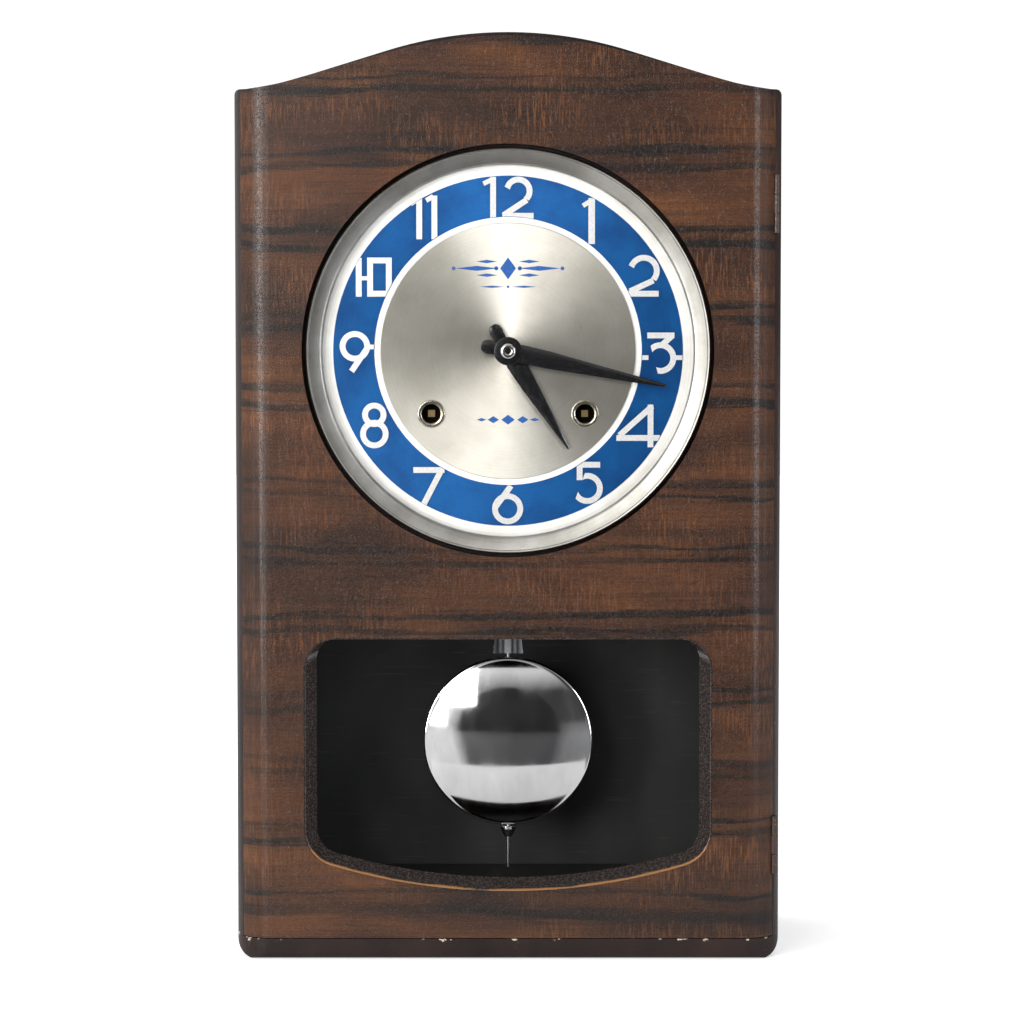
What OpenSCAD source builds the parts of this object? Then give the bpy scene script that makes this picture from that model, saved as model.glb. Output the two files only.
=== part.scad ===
/* [Case] */
// Width of the case over its side boards
case_w = 290; // [242:1:348]
// Depth of the case from the door's face to the wall
case_d = 125; // [105:1:150]
// Height of the case at its two shoulders
shoulder_h = 460; // [384:1:552]
// Rise of the arched top above the shoulders
arch_rise = 30; // [20:1:36]
// Radius of the arch's crown
crown_r = 215; // [180:1:250]
// Radius of the hollow curve that runs out to each shoulder
shoulder_r = 101.5; // [60:0.5:120]
// Radius of the upright front corners
corner_r = 20; // [14:1:24]
// Thickness of the side boards
side_t = 9; // [7:0.5:11]
// Thickness of the bent top board
top_t = 6; // [4:0.5:8]
// Thickness of the back board
back_t = 6; // [4:0.5:8]
// Depth of the hollow left behind the back board
back_recess = 8.5; // [6:0.5:12]
// Thickness of the base plinth
base_t = 11; // [9:0.5:14]
// Radius of the plinth's rounded lower ends
base_r = 10; // [5:0.5:10.5]
// Thickness of the bottom board that stands on the plinth
bottom_t = 21; // [16:1:24]

/* [Door] */
// Thickness of the veneered door
door_t = 8; // [7:0.5:9]
// Gap between the door and the case
door_gap = 0.4; // [0.3:0.1:0.8]
// How far the door's arched edge stops below the case's at the crown
door_step = 2.4; // [1:0.2:4]
// Gap all round the dial's bezel in the door
bezel_gap = 1.6; // [1.2:0.1:3]
// Half the width of the pendulum window
window_half = 108; // [80:1:109]
// Height of the window's lowest point above the base
window_sill = 36.3; // [34:0.1:60]
// Wood left between the dial opening and the window
window_bridge = 42.6; // [20:0.2:60]
// Radius of the window's upper corners
window_top_r = 17; // [10:1:30]
// Radius of the window's lower corners
window_low_r = 20; // [12:1:30]
// Radius of the window's bowed lower edge
window_bow_r = 330; // [250:5:600]
// Width of the lacquered bevel round the window
bevel_w = 6.5; // [4:0.5:9]
// Width of the bevel along the window's upper edge
bevel_top = 1.6; // [1:0.2:4]

/* [Dial] */
// Height of the shoulders above the dial's centre
dial_drop = 137.5; // [132:0.5:150]
// Outer radius of the bezel
bezel_r = 107; // [104:0.5:108]
// Inner radius of the bezel
bezel_in_r = 98; // [97:0.5:100]
// Outer radius of the chapter ring
chapter_out_r = 92.5; // [90:0.5:94]
// Inner radius of the chapter ring
chapter_in_r = 70.8; // [69:0.2:72]
// Radius of the raised centre disc
centre_disc_r = 67.7; // [62:0.5:68]
// Thickness of the dial plate
dial_t = 1.2; // [0.8:0.1:2]
// Thickness of the board that carries the dial
dial_board_t = 6; // [5:0.5:8]
// Stroke width of the numerals
stroke = 3.1; // [2.5:0.1:4]
// Sideways distance of each winding arbor from the centre
wind_x = 40.7; // [40:0.1:42]
// Distance of the winding arbors below the centre
wind_drop = 33; // [32:0.1:34]

/* [Hands] */
// Length of the minute hand
minute_l = 85.5; // [70:0.5:90]
// Length of the hour hand
hour_l = 60.8; // [45:0.5:66]
// Clockwise angle of the minute hand from twelve
minute_at = 102.4; // [0:0.1:360]
// Clockwise angle of the hour hand from twelve
hour_at = 148.1; // [0:0.1:360]

/* [Movement] */
// Thickness of the movement's plates
plate_t = 2; // [1.5:0.1:2.5]
// Clear distance between the plates
plate_span = 32; // [32:0.5:34]
// Space for the motion work between the dial board and the plate
motion_space = 4.8; // [4.6:0.1:8]
// Module of the barrel wheels
barrel_mod = 0.75; // [0.75:0.01:0.76]
// Module of the time train's second wheel
second_mod = 0.64; // [0.63:0.01:0.66]
// Module of the centre wheel
centre_mod = 0.49; // [0.48:0.01:0.5]
// Module of the third wheel
third_mod = 0.40; // [0.39:0.01:0.42]
// Radius of the winding arbors
wind_arbor_r = 2.5; // [2.2:0.1:3]
// Radial running clearance of the pivots
running = 0.05; // [0.02:0.01:0.08]

/* [Pendulum] */
// Height of the pendulum's axis above the dial's centre
pivot_rise = 36; // [34:0.5:40]
// Height of the bob's centre above the window's lowest point
bob_above_sill = 71.7; // [66:0.1:80]
// Radius of the bob
bob_r = 46.75; // [38:0.25:50]
// Thickness of the bob at its middle
bob_t = 14; // [10:0.5:20]
// Distance from the movement's back plate to the pendulum's axis
pendulum_gap = 9; // [8:0.5:12]
// Radius of the threaded pin below the rod
pin_r = 1; // [0.8:0.1:1.5]

/* [Hanger] */
// Radius of the keyhole that passes the wall screw's head
keyhole_r = 5; // [4:0.5:6]
// Thickness of the hanger plate
hanger_t = 1.6; // [1.2:0.1:2.5]

/* [Hidden] */
$fn = 64;
fine = 256;
cut = 1;

// Places across the case: x runs to the viewer's right, z up, y from front to wall
half_w = case_w / 2;
in_half = half_w - side_t;
front_y = -case_d / 2;
back_out = case_d - back_recess;
back_in = back_out - back_t;
case_front = door_t + door_gap;
floor_z = base_t + bottom_t;
dial_z = shoulder_h - dial_drop;
dial_hole_r = bezel_r + bezel_gap;
window_top = dial_z - dial_hole_r - window_bridge;

// Depths behind the door's face
board_front = door_t + 3.7;
board_back = board_front + dial_board_t;
dial_front = board_front - dial_t;
chapter_t = 0.4;
numeral_t = 0.6;
disc_t = 0.9;
bezel_front = 2.4;
fp0 = board_back + motion_space;
fp1 = fp0 + plate_t;
bp0 = fp1 + plate_span;
bp1 = bp0 + plate_t;
pendulum_d = bp1 + pendulum_gap;
rod_d = back_in - 7.5;

// Outline detail
arch_steps = 36;
soft_r = 3;
plinth_front_r = 5;

// The arch: a crown arc, a straight slope and a hollow arc that ends level at the shoulder
arch_reach = (half_w * half_w + arch_rise * arch_rise) / (2 * arch_rise);
arch_fit = min(1, 0.98 * arch_reach / (crown_r + shoulder_r));
crown = crown_r * arch_fit;
hollow = shoulder_r * arch_fit;
arch_sum = crown + hollow;
arch_span = sqrt((arch_sum - arch_rise) * (arch_sum - arch_rise) + half_w * half_w);
slope = atan2(half_w, arch_sum - arch_rise) - acos(arch_sum / arch_span);
crown_x = crown * sin(slope);
crown_drop = crown * (1 - cos(slope));
hollow_x = half_w - hollow * sin(slope);

// Movement layout, as [x, z]
centre_at = [0, dial_z];
time_at = [wind_x, dial_z - wind_drop];
strike_at = [-wind_x, dial_z - wind_drop];
escape_at = [0, dial_z + 20];
anchor_at = [0, dial_z + pivot_rise];
motion_cd = 15;
motion_at = [-motion_cd, dial_z];
barrel_teeth = 72;
barrel_pinion = 10;
second_teeth = 60;
centre_pinion = 10;
centre_teeth = 72;
third_pinion = 8;
third_teeth = 80;
escape_pinion = 8;
escape_teeth = 40;
escape_r = 13;
pallet_x = 11.6;
pin_teeth = 60;
locking_pinion = 8;
locking_teeth = 54;
warning_pinion = 8;
warning_teeth = 48;
fly_pinion = 8;
pin_mod = 0.6;
locking_mod = 0.5;
warning_mod = 0.45;
barrel_cd = (barrel_teeth + barrel_pinion) / 2 * barrel_mod;
second_cd = (second_teeth + centre_pinion) / 2 * second_mod;
centre_cd = (centre_teeth + third_pinion) / 2 * centre_mod;
third_cd = (third_teeth + escape_pinion) / 2 * third_mod;
second_at = meet(time_at, barrel_cd, centre_at, second_cd, 1);
third_at = meet(centre_at, centre_cd, escape_at, third_cd, 1);
pin_at = step(strike_at, barrel_cd, 75);
locking_at = step(pin_at, (pin_teeth + locking_pinion) / 2 * pin_mod, 60);
warning_at = step(locking_at, (locking_teeth + warning_pinion) / 2 * locking_mod, 100);
fly_at = step(warning_at, (warning_teeth + fly_pinion) / 2 * warning_mod, 200);

// Planes of the train's wheels
heavy_t = 1.5;
train_t = 1.2;
pinion_over = 1.4;
second_d = fp1 + 3.4;
centre_d = fp1 + 11;
third_d = fp1 + 20;
escape_d = fp1 + 27;
locking_d = fp1 + 16;
warning_d = fp1 + 8;
fly_d = fp1 + 19;
fly_l = 11;
fly_half = 8.6;
fly_t = 0.5;

// Barrels
barrel_r = 23;
barrel_wall = 1.5;
drum0 = fp1 + 7;
drum1 = drum0 + 16;
great_t = 2.4;
hub_r = 5;
square_w = 3.6;
ratchet_r = 10;
ratchet_teeth = 24;
ratchet0 = fp0 - 2.8;
ratchet1 = fp0 - 1.2;

// Pendulum
pivot_z = anchor_at[1];
bob_z = window_sill + bob_above_sill;
rod_r = 1.9;
nut_h = 6;
nut_z = bob_z - bob_r - 0.3;
pin_tip = max(floor_z + 4, nut_z - nut_h - 17);
bracket_z = bob_z + bob_r + 2;

// Wood screws
screw_r = 1.6;
screw_head_r = 3.4;
screw_head_h = 2;
screw_sunk = 0.4;
base_screw_l = 22;
base_screw_x = half_w - 30;
base_screw_d = [35, case_d - 35];
back_screw_l = 14;
back_screw_x = in_half - 40;
back_screw_z = base_t + bottom_t / 2;
gong_screw_z = dial_z + 105;
hanger_screw_l = back_t + hanger_t - 0.6;

// Hanger
hanger_z = shoulder_h - 28;
hanger_w = 64;
hanger_h = 40;
hanger_screw_x = 26;
keyhole_l = 12;
slot_r = keyhole_r / 2;
pocket_r = keyhole_r + 4;

// Door hinge
hinge_x = half_w - 3.3;
hinge_d = door_t + door_gap / 2;
knuckle_r = 1.7;
knuckle_l = 10;
knuckle_gap = 0.3;
leaf_t = 1;
leaf_w = 5.5;
hinge_pin_r = 0.7;
hinge_rise = [60, shoulder_h - 60];
catch_z = dial_z - bezel_r - 25;

// Gongs and hammers
gong_x = [-92, -70];
gong_z = dial_z + 95;
gong_l = [210, 190];
gong_r = 2;
hammer_z = dial_z + 52;
hammer_d = rod_d - 16;

// Smaller fittings
hinge_half = 1.5 * knuckle_l + knuckle_gap;
catch_in = 8;
catch_r = 2;
catch_screw_l = 5;
lining_front = 0.5;
lining_lip = 0.8;
motion_hole_r = 32;
wind_hole_r = 9;
grommet_r = 6.2;
grommet_lip_r = 7.4;
key_hole_r = 5;
pipe_hole_r = 3.9;

// Hands and motion work
hand_t = 0.8;
hour_tail = 16;
hour_w = 9.9;
hour_tail_w = 7.2;
minute_tail = 14.5;
minute_w = 10;
minute_tail_w = 7.6;
hand_shoulder = 7;
hand_root = 2.4;
hand_tip = 0.8;
hour_boss_r = 6.4;
minute_boss_r = 7.5;
minute_boss_t = 0.8;
hour_front = 7.3;
minute_front = 4.9;
nut_t = 2;
nut_front = minute_front - minute_boss_t - nut_t;
nut_r = 4.1;
centre_pin_r = 1.5;
cannon_r = 2.4;
hour_pipe_r = 3.3;
stud_r = 1;
motion_d = board_back - 3.4;
cannon_teeth = 12;
minute_teeth = 36;
minute_pinion = 10;
hour_teeth = 40;
cannon_mod = 2 * motion_cd / (cannon_teeth + minute_teeth);
hour_mod = 2 * motion_cd / (hour_teeth + minute_pinion);
cannon_first = mesh_angle(motion_at, minute_teeth, centre_at, cannon_teeth);
hour_first = mesh_angle(motion_at, minute_pinion, centre_at, hour_teeth);

// Movement frame
plate_half = 70;
plate_low = 64;
plate_high = 52;
pivot_r = 0.8;
anchor_r = 1.1;
pillar_r = 3.5;
pillar_at = [for (s = [-1, 1]) for (z = [-58, 36]) [s * 62, dial_z + z]];
click_pin_r = 1.2;
click_lean = 42;
click_at = [for (at = [time_at, strike_at]) step(at, 15, 100)];
spring_t = 0.3;
hammer_arbor_r = 1.2;
lift_pin_r = 0.6;
lift_pin_at = pin_teeth * pin_mod / 2 - 1.6;
hammer_gap = 0.6;

// Pendulum fittings
bracket_half = 7.5;
bracket_h = 34;
bob_rim = 2.4;
bob_lip = 2;
bob_skin = 1;

function step(from, length, angle) = [from[0] + length * cos(angle), from[1] + length * sin(angle)];
function reach(a, b) = sqrt((b[0] - a[0]) * (b[0] - a[0]) + (b[1] - a[1]) * (b[1] - a[1]));
function bearing(a, b) = atan2(b[1] - a[1], b[0] - a[0]);
function frac(x) = x - floor(x);

// The point at distance ra from a and rb from b, on the chosen side of the line between them
function meet(a, ra, b, rb, side) =
    let (d = reach(a, b), along = (ra * ra - rb * rb + d * d) / (2 * d))
    let (off = sqrt(max(0, ra * ra - along * along)), t = bearing(a, b))
    [a[0] + along * cos(t) + side * off * sin(t), a[1] + along * sin(t) - side * off * cos(t)];

// Angle of a pinion's first tooth so that it meshes with a wheel whose first tooth is at 0
function mesh_angle(wheel_at, wheel_teeth, pinion_at, pinion_teeth) =
    let (t = bearing(wheel_at, pinion_at))
    t + 180 - (0.5 - frac(t * wheel_teeth / 360)) * 360 / pinion_teeth;

function gear_points(teeth, mod, first, thick) = [
    for (i = [0 : teeth - 1])
        for (p = [[-1.25, -0.25], [0, -thick], [0.85, -0.09], [0.85, 0.09], [0, thick], [-1.25, 0.25]])
            let (r = teeth * mod / 2 + p[0] * mod, a = first + (i + p[1]) * 360 / teeth)
            [r * cos(a), r * sin(a)]
];

// Saw teeth that lean one way, for ratchets and the escape wheel
function saw_points(teeth, r, depth, lean) = [
    for (i = [0 : teeth - 1])
        for (p = [[-depth, 0], [0, lean], [-0.05, lean + 0.12]])
            let (a = (i + p[1]) * 360 / teeth)
            [(r + p[0]) * cos(a), (r + p[0]) * sin(a)]
];

// Height of the case's outline above the shoulder at a distance x from its middle
function arch_z(x) =
    abs(x) < crown_x ? arch_rise - crown + sqrt(crown * crown - x * x)
    : abs(x) < hollow_x ? arch_rise - crown_drop - (abs(x) - crown_x) * tan(slope)
    : hollow - sqrt(hollow * hollow - (half_w - abs(x)) * (half_w - abs(x)));

// How much the rounded outer corner takes off the height
function corner_cut(gap) =
    gap < soft_r ? soft_r - sqrt(soft_r * soft_r - (soft_r - gap) * (soft_r - gap)) : 0;

// Height of the case's own top edge at a distance x from its middle
function edge_z(x) = shoulder_h + arch_z(x) - corner_cut(half_w - abs(x));

function arch_xs() = concat(
    [for (a = [0 : 15 : 75]) -half_w + soft_r * (1 - cos(a))],
    [for (i = [-arch_steps : arch_steps]) i / arch_steps * (half_w - soft_r)],
    [for (a = [75 : -15 : 0]) half_w - soft_r * (1 - cos(a))]
);

// Arched outline from z = low up to the case's own top edge less a drop that grows towards the crown
function arch_outline(low, drop, extra) = concat(
    [for (x = arch_xs()) [x, edge_z(x) - drop - extra * arch_z(x) / arch_rise]],
    [[half_w, low], [-half_w, low]]
);

// Window outline shrunk by an inset at its sides and foot, and by another at its upper edge
function window_outline(inset, top_inset) =
    let (w = window_half - inset, top = window_top - top_inset, low = window_sill + inset)
    let (rt = window_top_r - inset, rl = window_low_r - inset, rb = window_bow_r - inset)
    let (cx = w - rl, cz = low + rb - sqrt((rb - rl) * (rb - rl) - cx * cx), end = asin(cx / (rb - rl)))
    concat(
        [for (i = [0 : 10]) [w - rt + rt * cos(i * 9), top - rt + rt * sin(i * 9)]],
        [for (i = [0 : 10]) [-w + rt - rt * sin(i * 9), top - rt + rt * cos(i * 9)]],
        [for (i = [0 : 8]) let (a = 180 + i / 8 * (90 - end)) [-cx + rl * cos(a), cz + rl * sin(a)]],
        [for (i = [1 : 23]) let (a = 270 - end + i / 24 * 2 * end) [rb * cos(a), low + rb + rb * sin(a)]],
        [for (i = [0 : 8]) let (a = 270 + end + i / 8 * (90 - end)) [cx + rl * cos(a), cz + rl * sin(a)]]
    );

// A flat outline in x and z, thickened from one depth to another
module slab(from, to) {
    translate([0, front_y + to, 0])
        rotate([90, 0, 0])
            linear_extrude(to - from)
                children();
}

// A round bar along y
module bar(at, from, to, r) {
    translate([at[0], front_y + from, at[1]])
        rotate([-90, 0, 0])
            cylinder(h = to - from, r = r);
}

// A block given by its low and high corners as x, depth and z
module block(low, high) {
    translate([low[0], front_y + low[1], low[2]])
        cube([high[0] - low[0], high[1] - low[1], high[2] - low[2]]);
}

// A ring along y
module ring(at, from, to, outer, inner) {
    difference() {
        bar(at, from, to, outer);
        bar(at, from - cut, to + cut, inner);
    }
}

// The case seen from above, with its rounded front corners
module footprint(low, high) {
    translate([0, 0, low])
        linear_extrude(high - low)
            union() {
                translate([-half_w + corner_r, front_y]) square([case_w - 2 * corner_r, case_d]);
                translate([-half_w, front_y + corner_r]) square([case_w, case_d - corner_r]);
                for (s = [-1, 1])
                    translate([s * (half_w - corner_r), front_y + corner_r]) circle(corner_r);
            }
}

// The outer body of the case, cut to a range of depths
module case_body(from, to, low, drop, extra) {
    intersection() {
        footprint(0, shoulder_h + arch_rise + 10);
        slab(from, to) polygon(arch_outline(low, drop, extra));
    }
}

module wheel(at, teeth, mod, from, to, first, spokes, hub) {
    rim = teeth * mod / 2 - 1.25 * mod - 1.6;
    slab(from, to)
        translate(at)
            difference() {
                polygon(gear_points(teeth, mod, first, 0.19));
                difference() {
                    circle(rim);
                    circle(hub);
                    for (i = [0 : spokes - 1])
                        rotate(i * 360 / spokes) translate([0, -0.9]) square([rim + cut, 1.8]);
                }
            }
}

module pinion(at, teeth, mod, from, to, first) {
    slab(from, to) translate(at) polygon(gear_points(teeth, mod, first, 0.17));
}

// A pinion that reaches a little past both faces of the wheel that turns it
module pinion_on(at, teeth, mod, depth, wheel_t, first) {
    pinion(at, teeth, mod, depth - pinion_over, depth + wheel_t + pinion_over, first);
}

// An arbor between the plates, with a thin pivot through each
module arbor(at, r, pivot_r) {
    bar(at, fp1 + 0.5, bp0 - 0.5, r);
    bar(at, fp0 + 0.3, bp1 - 0.3, pivot_r);
}

// A wood screw that points up from its head
module wood_screw(length) {
    cylinder(h = screw_head_h, r1 = screw_head_r, r2 = screw_r);
    cylinder(h = length, r = screw_r);
}

// The same screw driven through the back towards the front
module back_screw(x, depth, z, length) {
    translate([x, front_y + depth, z]) rotate([90, 0, 0]) wood_screw(length);
}

module all_wood_screws() {
    for (s = [-1, 1]) {
        for (d = base_screw_d)
            translate([s * base_screw_x, front_y + d, screw_sunk]) wood_screw(base_screw_l);
        back_screw(s * back_screw_x, back_out - screw_sunk, back_screw_z, back_screw_l);
        back_screw(s * hanger_screw_x, back_out + hanger_t, hanger_z, hanger_screw_l);
    }
    for (x = gong_x)
        back_screw(x, back_out - screw_sunk, gong_screw_z, back_screw_l);
}

// The holes reach out to the surface that each screw is sunk below
module screw_holes() {
    all_wood_screws();
    for (s = [-1, 1]) {
        for (d = base_screw_d)
            translate([s * base_screw_x, front_y + d, -cut])
                cylinder(h = cut + screw_sunk, r = screw_head_r);
        bar([s * back_screw_x, back_screw_z], back_out - screw_sunk, back_out + cut, screw_head_r);
    }
    for (x = gong_x)
        bar([x, gong_screw_z], back_out - screw_sunk, back_out + cut, screw_head_r);
}

// ---------- Case ----------

module base_plinth() {
    color("#241a18")
        difference() {
            intersection() {
                footprint(0, base_t);
                slab(0, case_d) plinth_end(half_w, base_r);
                translate([-half_w, 0, 0])
                    rotate([90, 0, 90])
                        linear_extrude(case_w)
                            plinth_side();
            }
            screw_holes();
        }
}

// The plinth from the front, with both lower ends rounded
module plinth_end(half, r) {
    translate([-half, r]) square([2 * half, base_t - r]);
    translate([-half + r, 0]) square([2 * half - 2 * r, base_t]);
    for (s = [-1, 1])
        translate([s * (half - r), r]) circle(r);
}

// The plinth from the side, with its lower front edge rounded
module plinth_side() {
    translate([front_y + plinth_front_r, 0]) square([case_d - plinth_front_r, base_t]);
    translate([front_y, plinth_front_r]) square([case_d, base_t - plinth_front_r]);
    translate([front_y + plinth_front_r, plinth_front_r]) circle(plinth_front_r);
}

module bottom_board() {
    color("#15110f")
        difference() {
            block([-in_half, case_front, base_t], [in_half, back_in, floor_z]);
            screw_holes();
        }
}

module side_board(low_x, high_x) {
    intersection() {
        case_body(case_front, case_d, base_t, top_t, 0);
        block([low_x, 0, base_t], [high_x, case_d, shoulder_h + arch_rise]);
    }
}

module left_side_board() {
    color("#2b2120") side_board(-half_w, -in_half);
}

module right_side_board() {
    color("#2b2120")
        difference() {
            side_board(in_half, half_w);
            hinge_cuts();
        }
}

module top_board() {
    color("#2b2120")
        difference() {
            case_body(case_front, case_d, shoulder_h - 2 * top_t, 0, 0);
            slab(case_front - cut, case_d + cut) polygon(arch_outline(0, top_t, 0));
        }
}

module keyhole(r, slot, length) {
    translate([0, hanger_z]) circle(r);
    translate([0, hanger_z + length]) circle(slot);
    translate([-slot, hanger_z]) square([2 * slot, length]);
}

module back_board() {
    color("#17120f")
        difference() {
            intersection() {
                slab(back_in, back_out) polygon(arch_outline(base_t, top_t, 0));
                block([-in_half, 0, base_t], [in_half, case_d, shoulder_h + arch_rise]);
            }
            slab(back_in - cut, back_out + cut) keyhole(pocket_r, pocket_r, keyhole_l);
            screw_holes();
        }
}

module wood_screws() {
    color("#a08a5a") all_wood_screws();
}

module hanger_plate() {
    color("silver")
        difference() {
            slab(back_out, back_out + hanger_t)
                difference() {
                    translate([-hanger_w / 2, hanger_z + keyhole_l / 2 - hanger_h / 2])
                        square([hanger_w, hanger_h]);
                    keyhole(keyhole_r, slot_r, keyhole_l);
                }
            screw_holes();
        }
}

module gong_block() {
    color("#3a3d40")
        difference() {
            block(
                [min(gong_x) - 9, back_in - 12, gong_z],
                [max(gong_x) + 9, back_in, gong_z + 18]
            );
            screw_holes();
        }
}

module gong_rods() {
    color("#8c7a4e")
        for (i = [0, 1])
            translate([gong_x[i], front_y + rod_d, gong_z - gong_l[i]])
                cylinder(h = gong_l[i], r = gong_r);
}

// ---------- Door ----------

module door_panel() {
    color("#4e2d1b")
        difference() {
            case_body(0, door_t, base_t + door_gap, door_gap, door_step);
            bar(centre_at, -cut, door_t + cut, dial_hole_r);
            slab(-cut, door_t + cut) polygon(window_outline(0, 0));
            hinge_cuts();
            bar([-in_half + catch_in, catch_z], door_t - catch_screw_l, door_t + cut, catch_r);
        }
}

module window_lining() {
    color("#0e0c0c")
        difference() {
            slab(lining_front, door_t) polygon(window_outline(0, 0));
            hull() {
                slab(lining_front - 0.1, lining_front) polygon(window_outline(lining_lip, lining_lip));
                slab(door_t - lining_lip, door_t + 0.1) polygon(window_outline(bevel_w, bevel_top));
            }
        }
}

// Room for the hinge leaves and knuckles, in the door and in the side board
module hinge_cuts() {
    for (z = hinge_rise) {
        translate([hinge_x, front_y + hinge_d, z - hinge_half - knuckle_gap])
            cylinder(h = 2 * hinge_half + 2 * knuckle_gap, r = knuckle_r + knuckle_gap);
        block(
            [hinge_x - leaf_w, hinge_d - door_gap / 2 - leaf_t, z - hinge_half],
            [hinge_x, hinge_d + door_gap / 2 + leaf_t, z + hinge_half]
        );
    }
}

// One leaf from a low depth to a high one, its knuckles at the given steps up the pin and its
// hole wider than the pin by the given play
module hinge_leaf(from, to, knuckles, play) {
    for (z = hinge_rise)
        difference() {
            union() {
                block(
                    [hinge_x - leaf_w, from, z - hinge_half],
                    [hinge_x - knuckle_r - knuckle_gap, to, z + hinge_half]
                );
                for (k = knuckles) {
                    low = z - hinge_half + k * (knuckle_l + knuckle_gap);
                    block(
                        [hinge_x - knuckle_r - 2 * knuckle_gap, from, low],
                        [hinge_x, to, low + knuckle_l]
                    );
                    translate([hinge_x, front_y + hinge_d, low])
                        cylinder(h = knuckle_l, r = knuckle_r);
                }
            }
            translate([hinge_x, front_y + hinge_d, z - hinge_half - cut])
                cylinder(h = 2 * hinge_half + 2 * cut, r = hinge_pin_r + play);
        }
}

module hinge_door_leaves() {
    color("#a8873f") hinge_leaf(door_t - leaf_t, door_t, [1], running);
}

module hinge_case_leaves() {
    color("#a8873f") hinge_leaf(case_front, case_front + leaf_t, [0, 2], 0);
}

module hinge_pins() {
    color("#a8873f")
        for (z = hinge_rise)
            translate([hinge_x, front_y + hinge_d, z - hinge_half])
                cylinder(h = 2 * hinge_half, r = hinge_pin_r);
}

module catch_stud() {
    color("#a8873f") {
        bar([-in_half + catch_in, catch_z], door_t - catch_screw_l, door_t, catch_r);
        bar([-in_half + catch_in, catch_z], door_t, door_t + 10, catch_r);
        bar([-in_half + catch_in, catch_z], door_t + 7, door_t + 10, catch_r + 0.8);
    }
}

module catch_clip() {
    color("#a8873f") {
        block([-in_half, case_front + 4, catch_z - 5], [-in_half + 1, case_front + 20, catch_z + 5]);
        for (s = [-1, 1])
            block(
                [-in_half, case_front + 4, catch_z + s * 4 - 0.4],
                [-in_half + catch_in + 3, case_front + 14, catch_z + s * 4 + 0.4]
            );
    }
}

// ---------- Dial ----------

module dial_board() {
    color("#1a1614")
        difference() {
            block(
                [-in_half, board_front, dial_z - bezel_r - 10],
                [in_half, board_back, dial_z + bezel_r + 8]
            );
            bar(centre_at, board_front - cut, board_back + cut, motion_hole_r);
            for (at = [time_at, strike_at])
                bar(at, board_front - cut, board_back + cut, wind_hole_r);
            movement_screw_shapes();
        }
}

module dial_plate() {
    color("#cfd2d4")
        difference() {
            bar(centre_at, dial_front, board_front, bezel_in_r + 1.5);
            dial_holes(dial_front, board_front);
        }
}

// The hole for the hands' pipe and the two for the winding key's grommets
module dial_holes(from, to) {
    bar(centre_at, from - cut, to + cut, pipe_hole_r);
    for (at = [time_at, strike_at])
        bar(at, from - cut, to + cut, grommet_r);
}

module chapter_ring() {
    color("#1c5c9c") ring(centre_at, dial_front - chapter_t, dial_front, chapter_out_r, chapter_in_r);
}

module dial_centre() {
    color("#b4b9bd")
        difference() {
            bar(centre_at, dial_front - disc_t, dial_front, centre_disc_r);
            dial_holes(dial_front - disc_t, dial_front);
        }
}

module winding_grommets() {
    color("#c9b37a")
        for (at = [time_at, strike_at])
            difference() {
                union() {
                    bar(at, dial_front - disc_t - 0.8, dial_front - disc_t, grommet_lip_r);
                    bar(at, dial_front - disc_t, board_front + 2, grommet_r);
                }
                bar(at, dial_front - disc_t - 1 - cut, board_front + 2 + cut, key_hole_r);
            }
}

// A spun ring whose cross-section is given as [radius, depth]
module dial_bezel() {
    color("#8f9396")
        translate([0, front_y, dial_z])
            rotate([-90, 0, 0])
                rotate_extrude()
                    polygon([
                        [bezel_r - 1, board_front], [bezel_r, board_front],
                        [bezel_r, bezel_front + 1], [bezel_r - 0.6, bezel_front + 0.2],
                        [bezel_r - 1.6, bezel_front], [bezel_in_r + 0.8, bezel_front + 1.8],
                        [bezel_in_r, bezel_front + 2.6], [bezel_in_r, dial_front],
                        [bezel_in_r + 1, dial_front], [bezel_in_r + 1, bezel_front + 3.2],
                        [bezel_r - 1.8, bezel_front + 1.2], [bezel_r - 1, bezel_front + 1.8]
                    ]);
}

// A straight stroke of a numeral from a to b, square at its ends
module stroke_line(a, b, w) {
    translate(a) rotate(bearing(a, b)) translate([0, -w / 2]) square([reach(a, b), w]);
}

// A whole round stroke about a point
module stroke_ring(at, r, w) {
    translate(at)
        difference() {
            circle(r + w / 2);
            circle(r - w / 2);
        }
}

// A round stroke with everything beyond a line cut away, the line set back from the centre
module stroke_arc(at, r, w, facing, more) {
    intersection() {
        stroke_ring(at, r, w);
        translate(at) rotate(facing) translate([-more, -2 * r]) square([4 * r, 4 * r]);
    }
}

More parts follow.
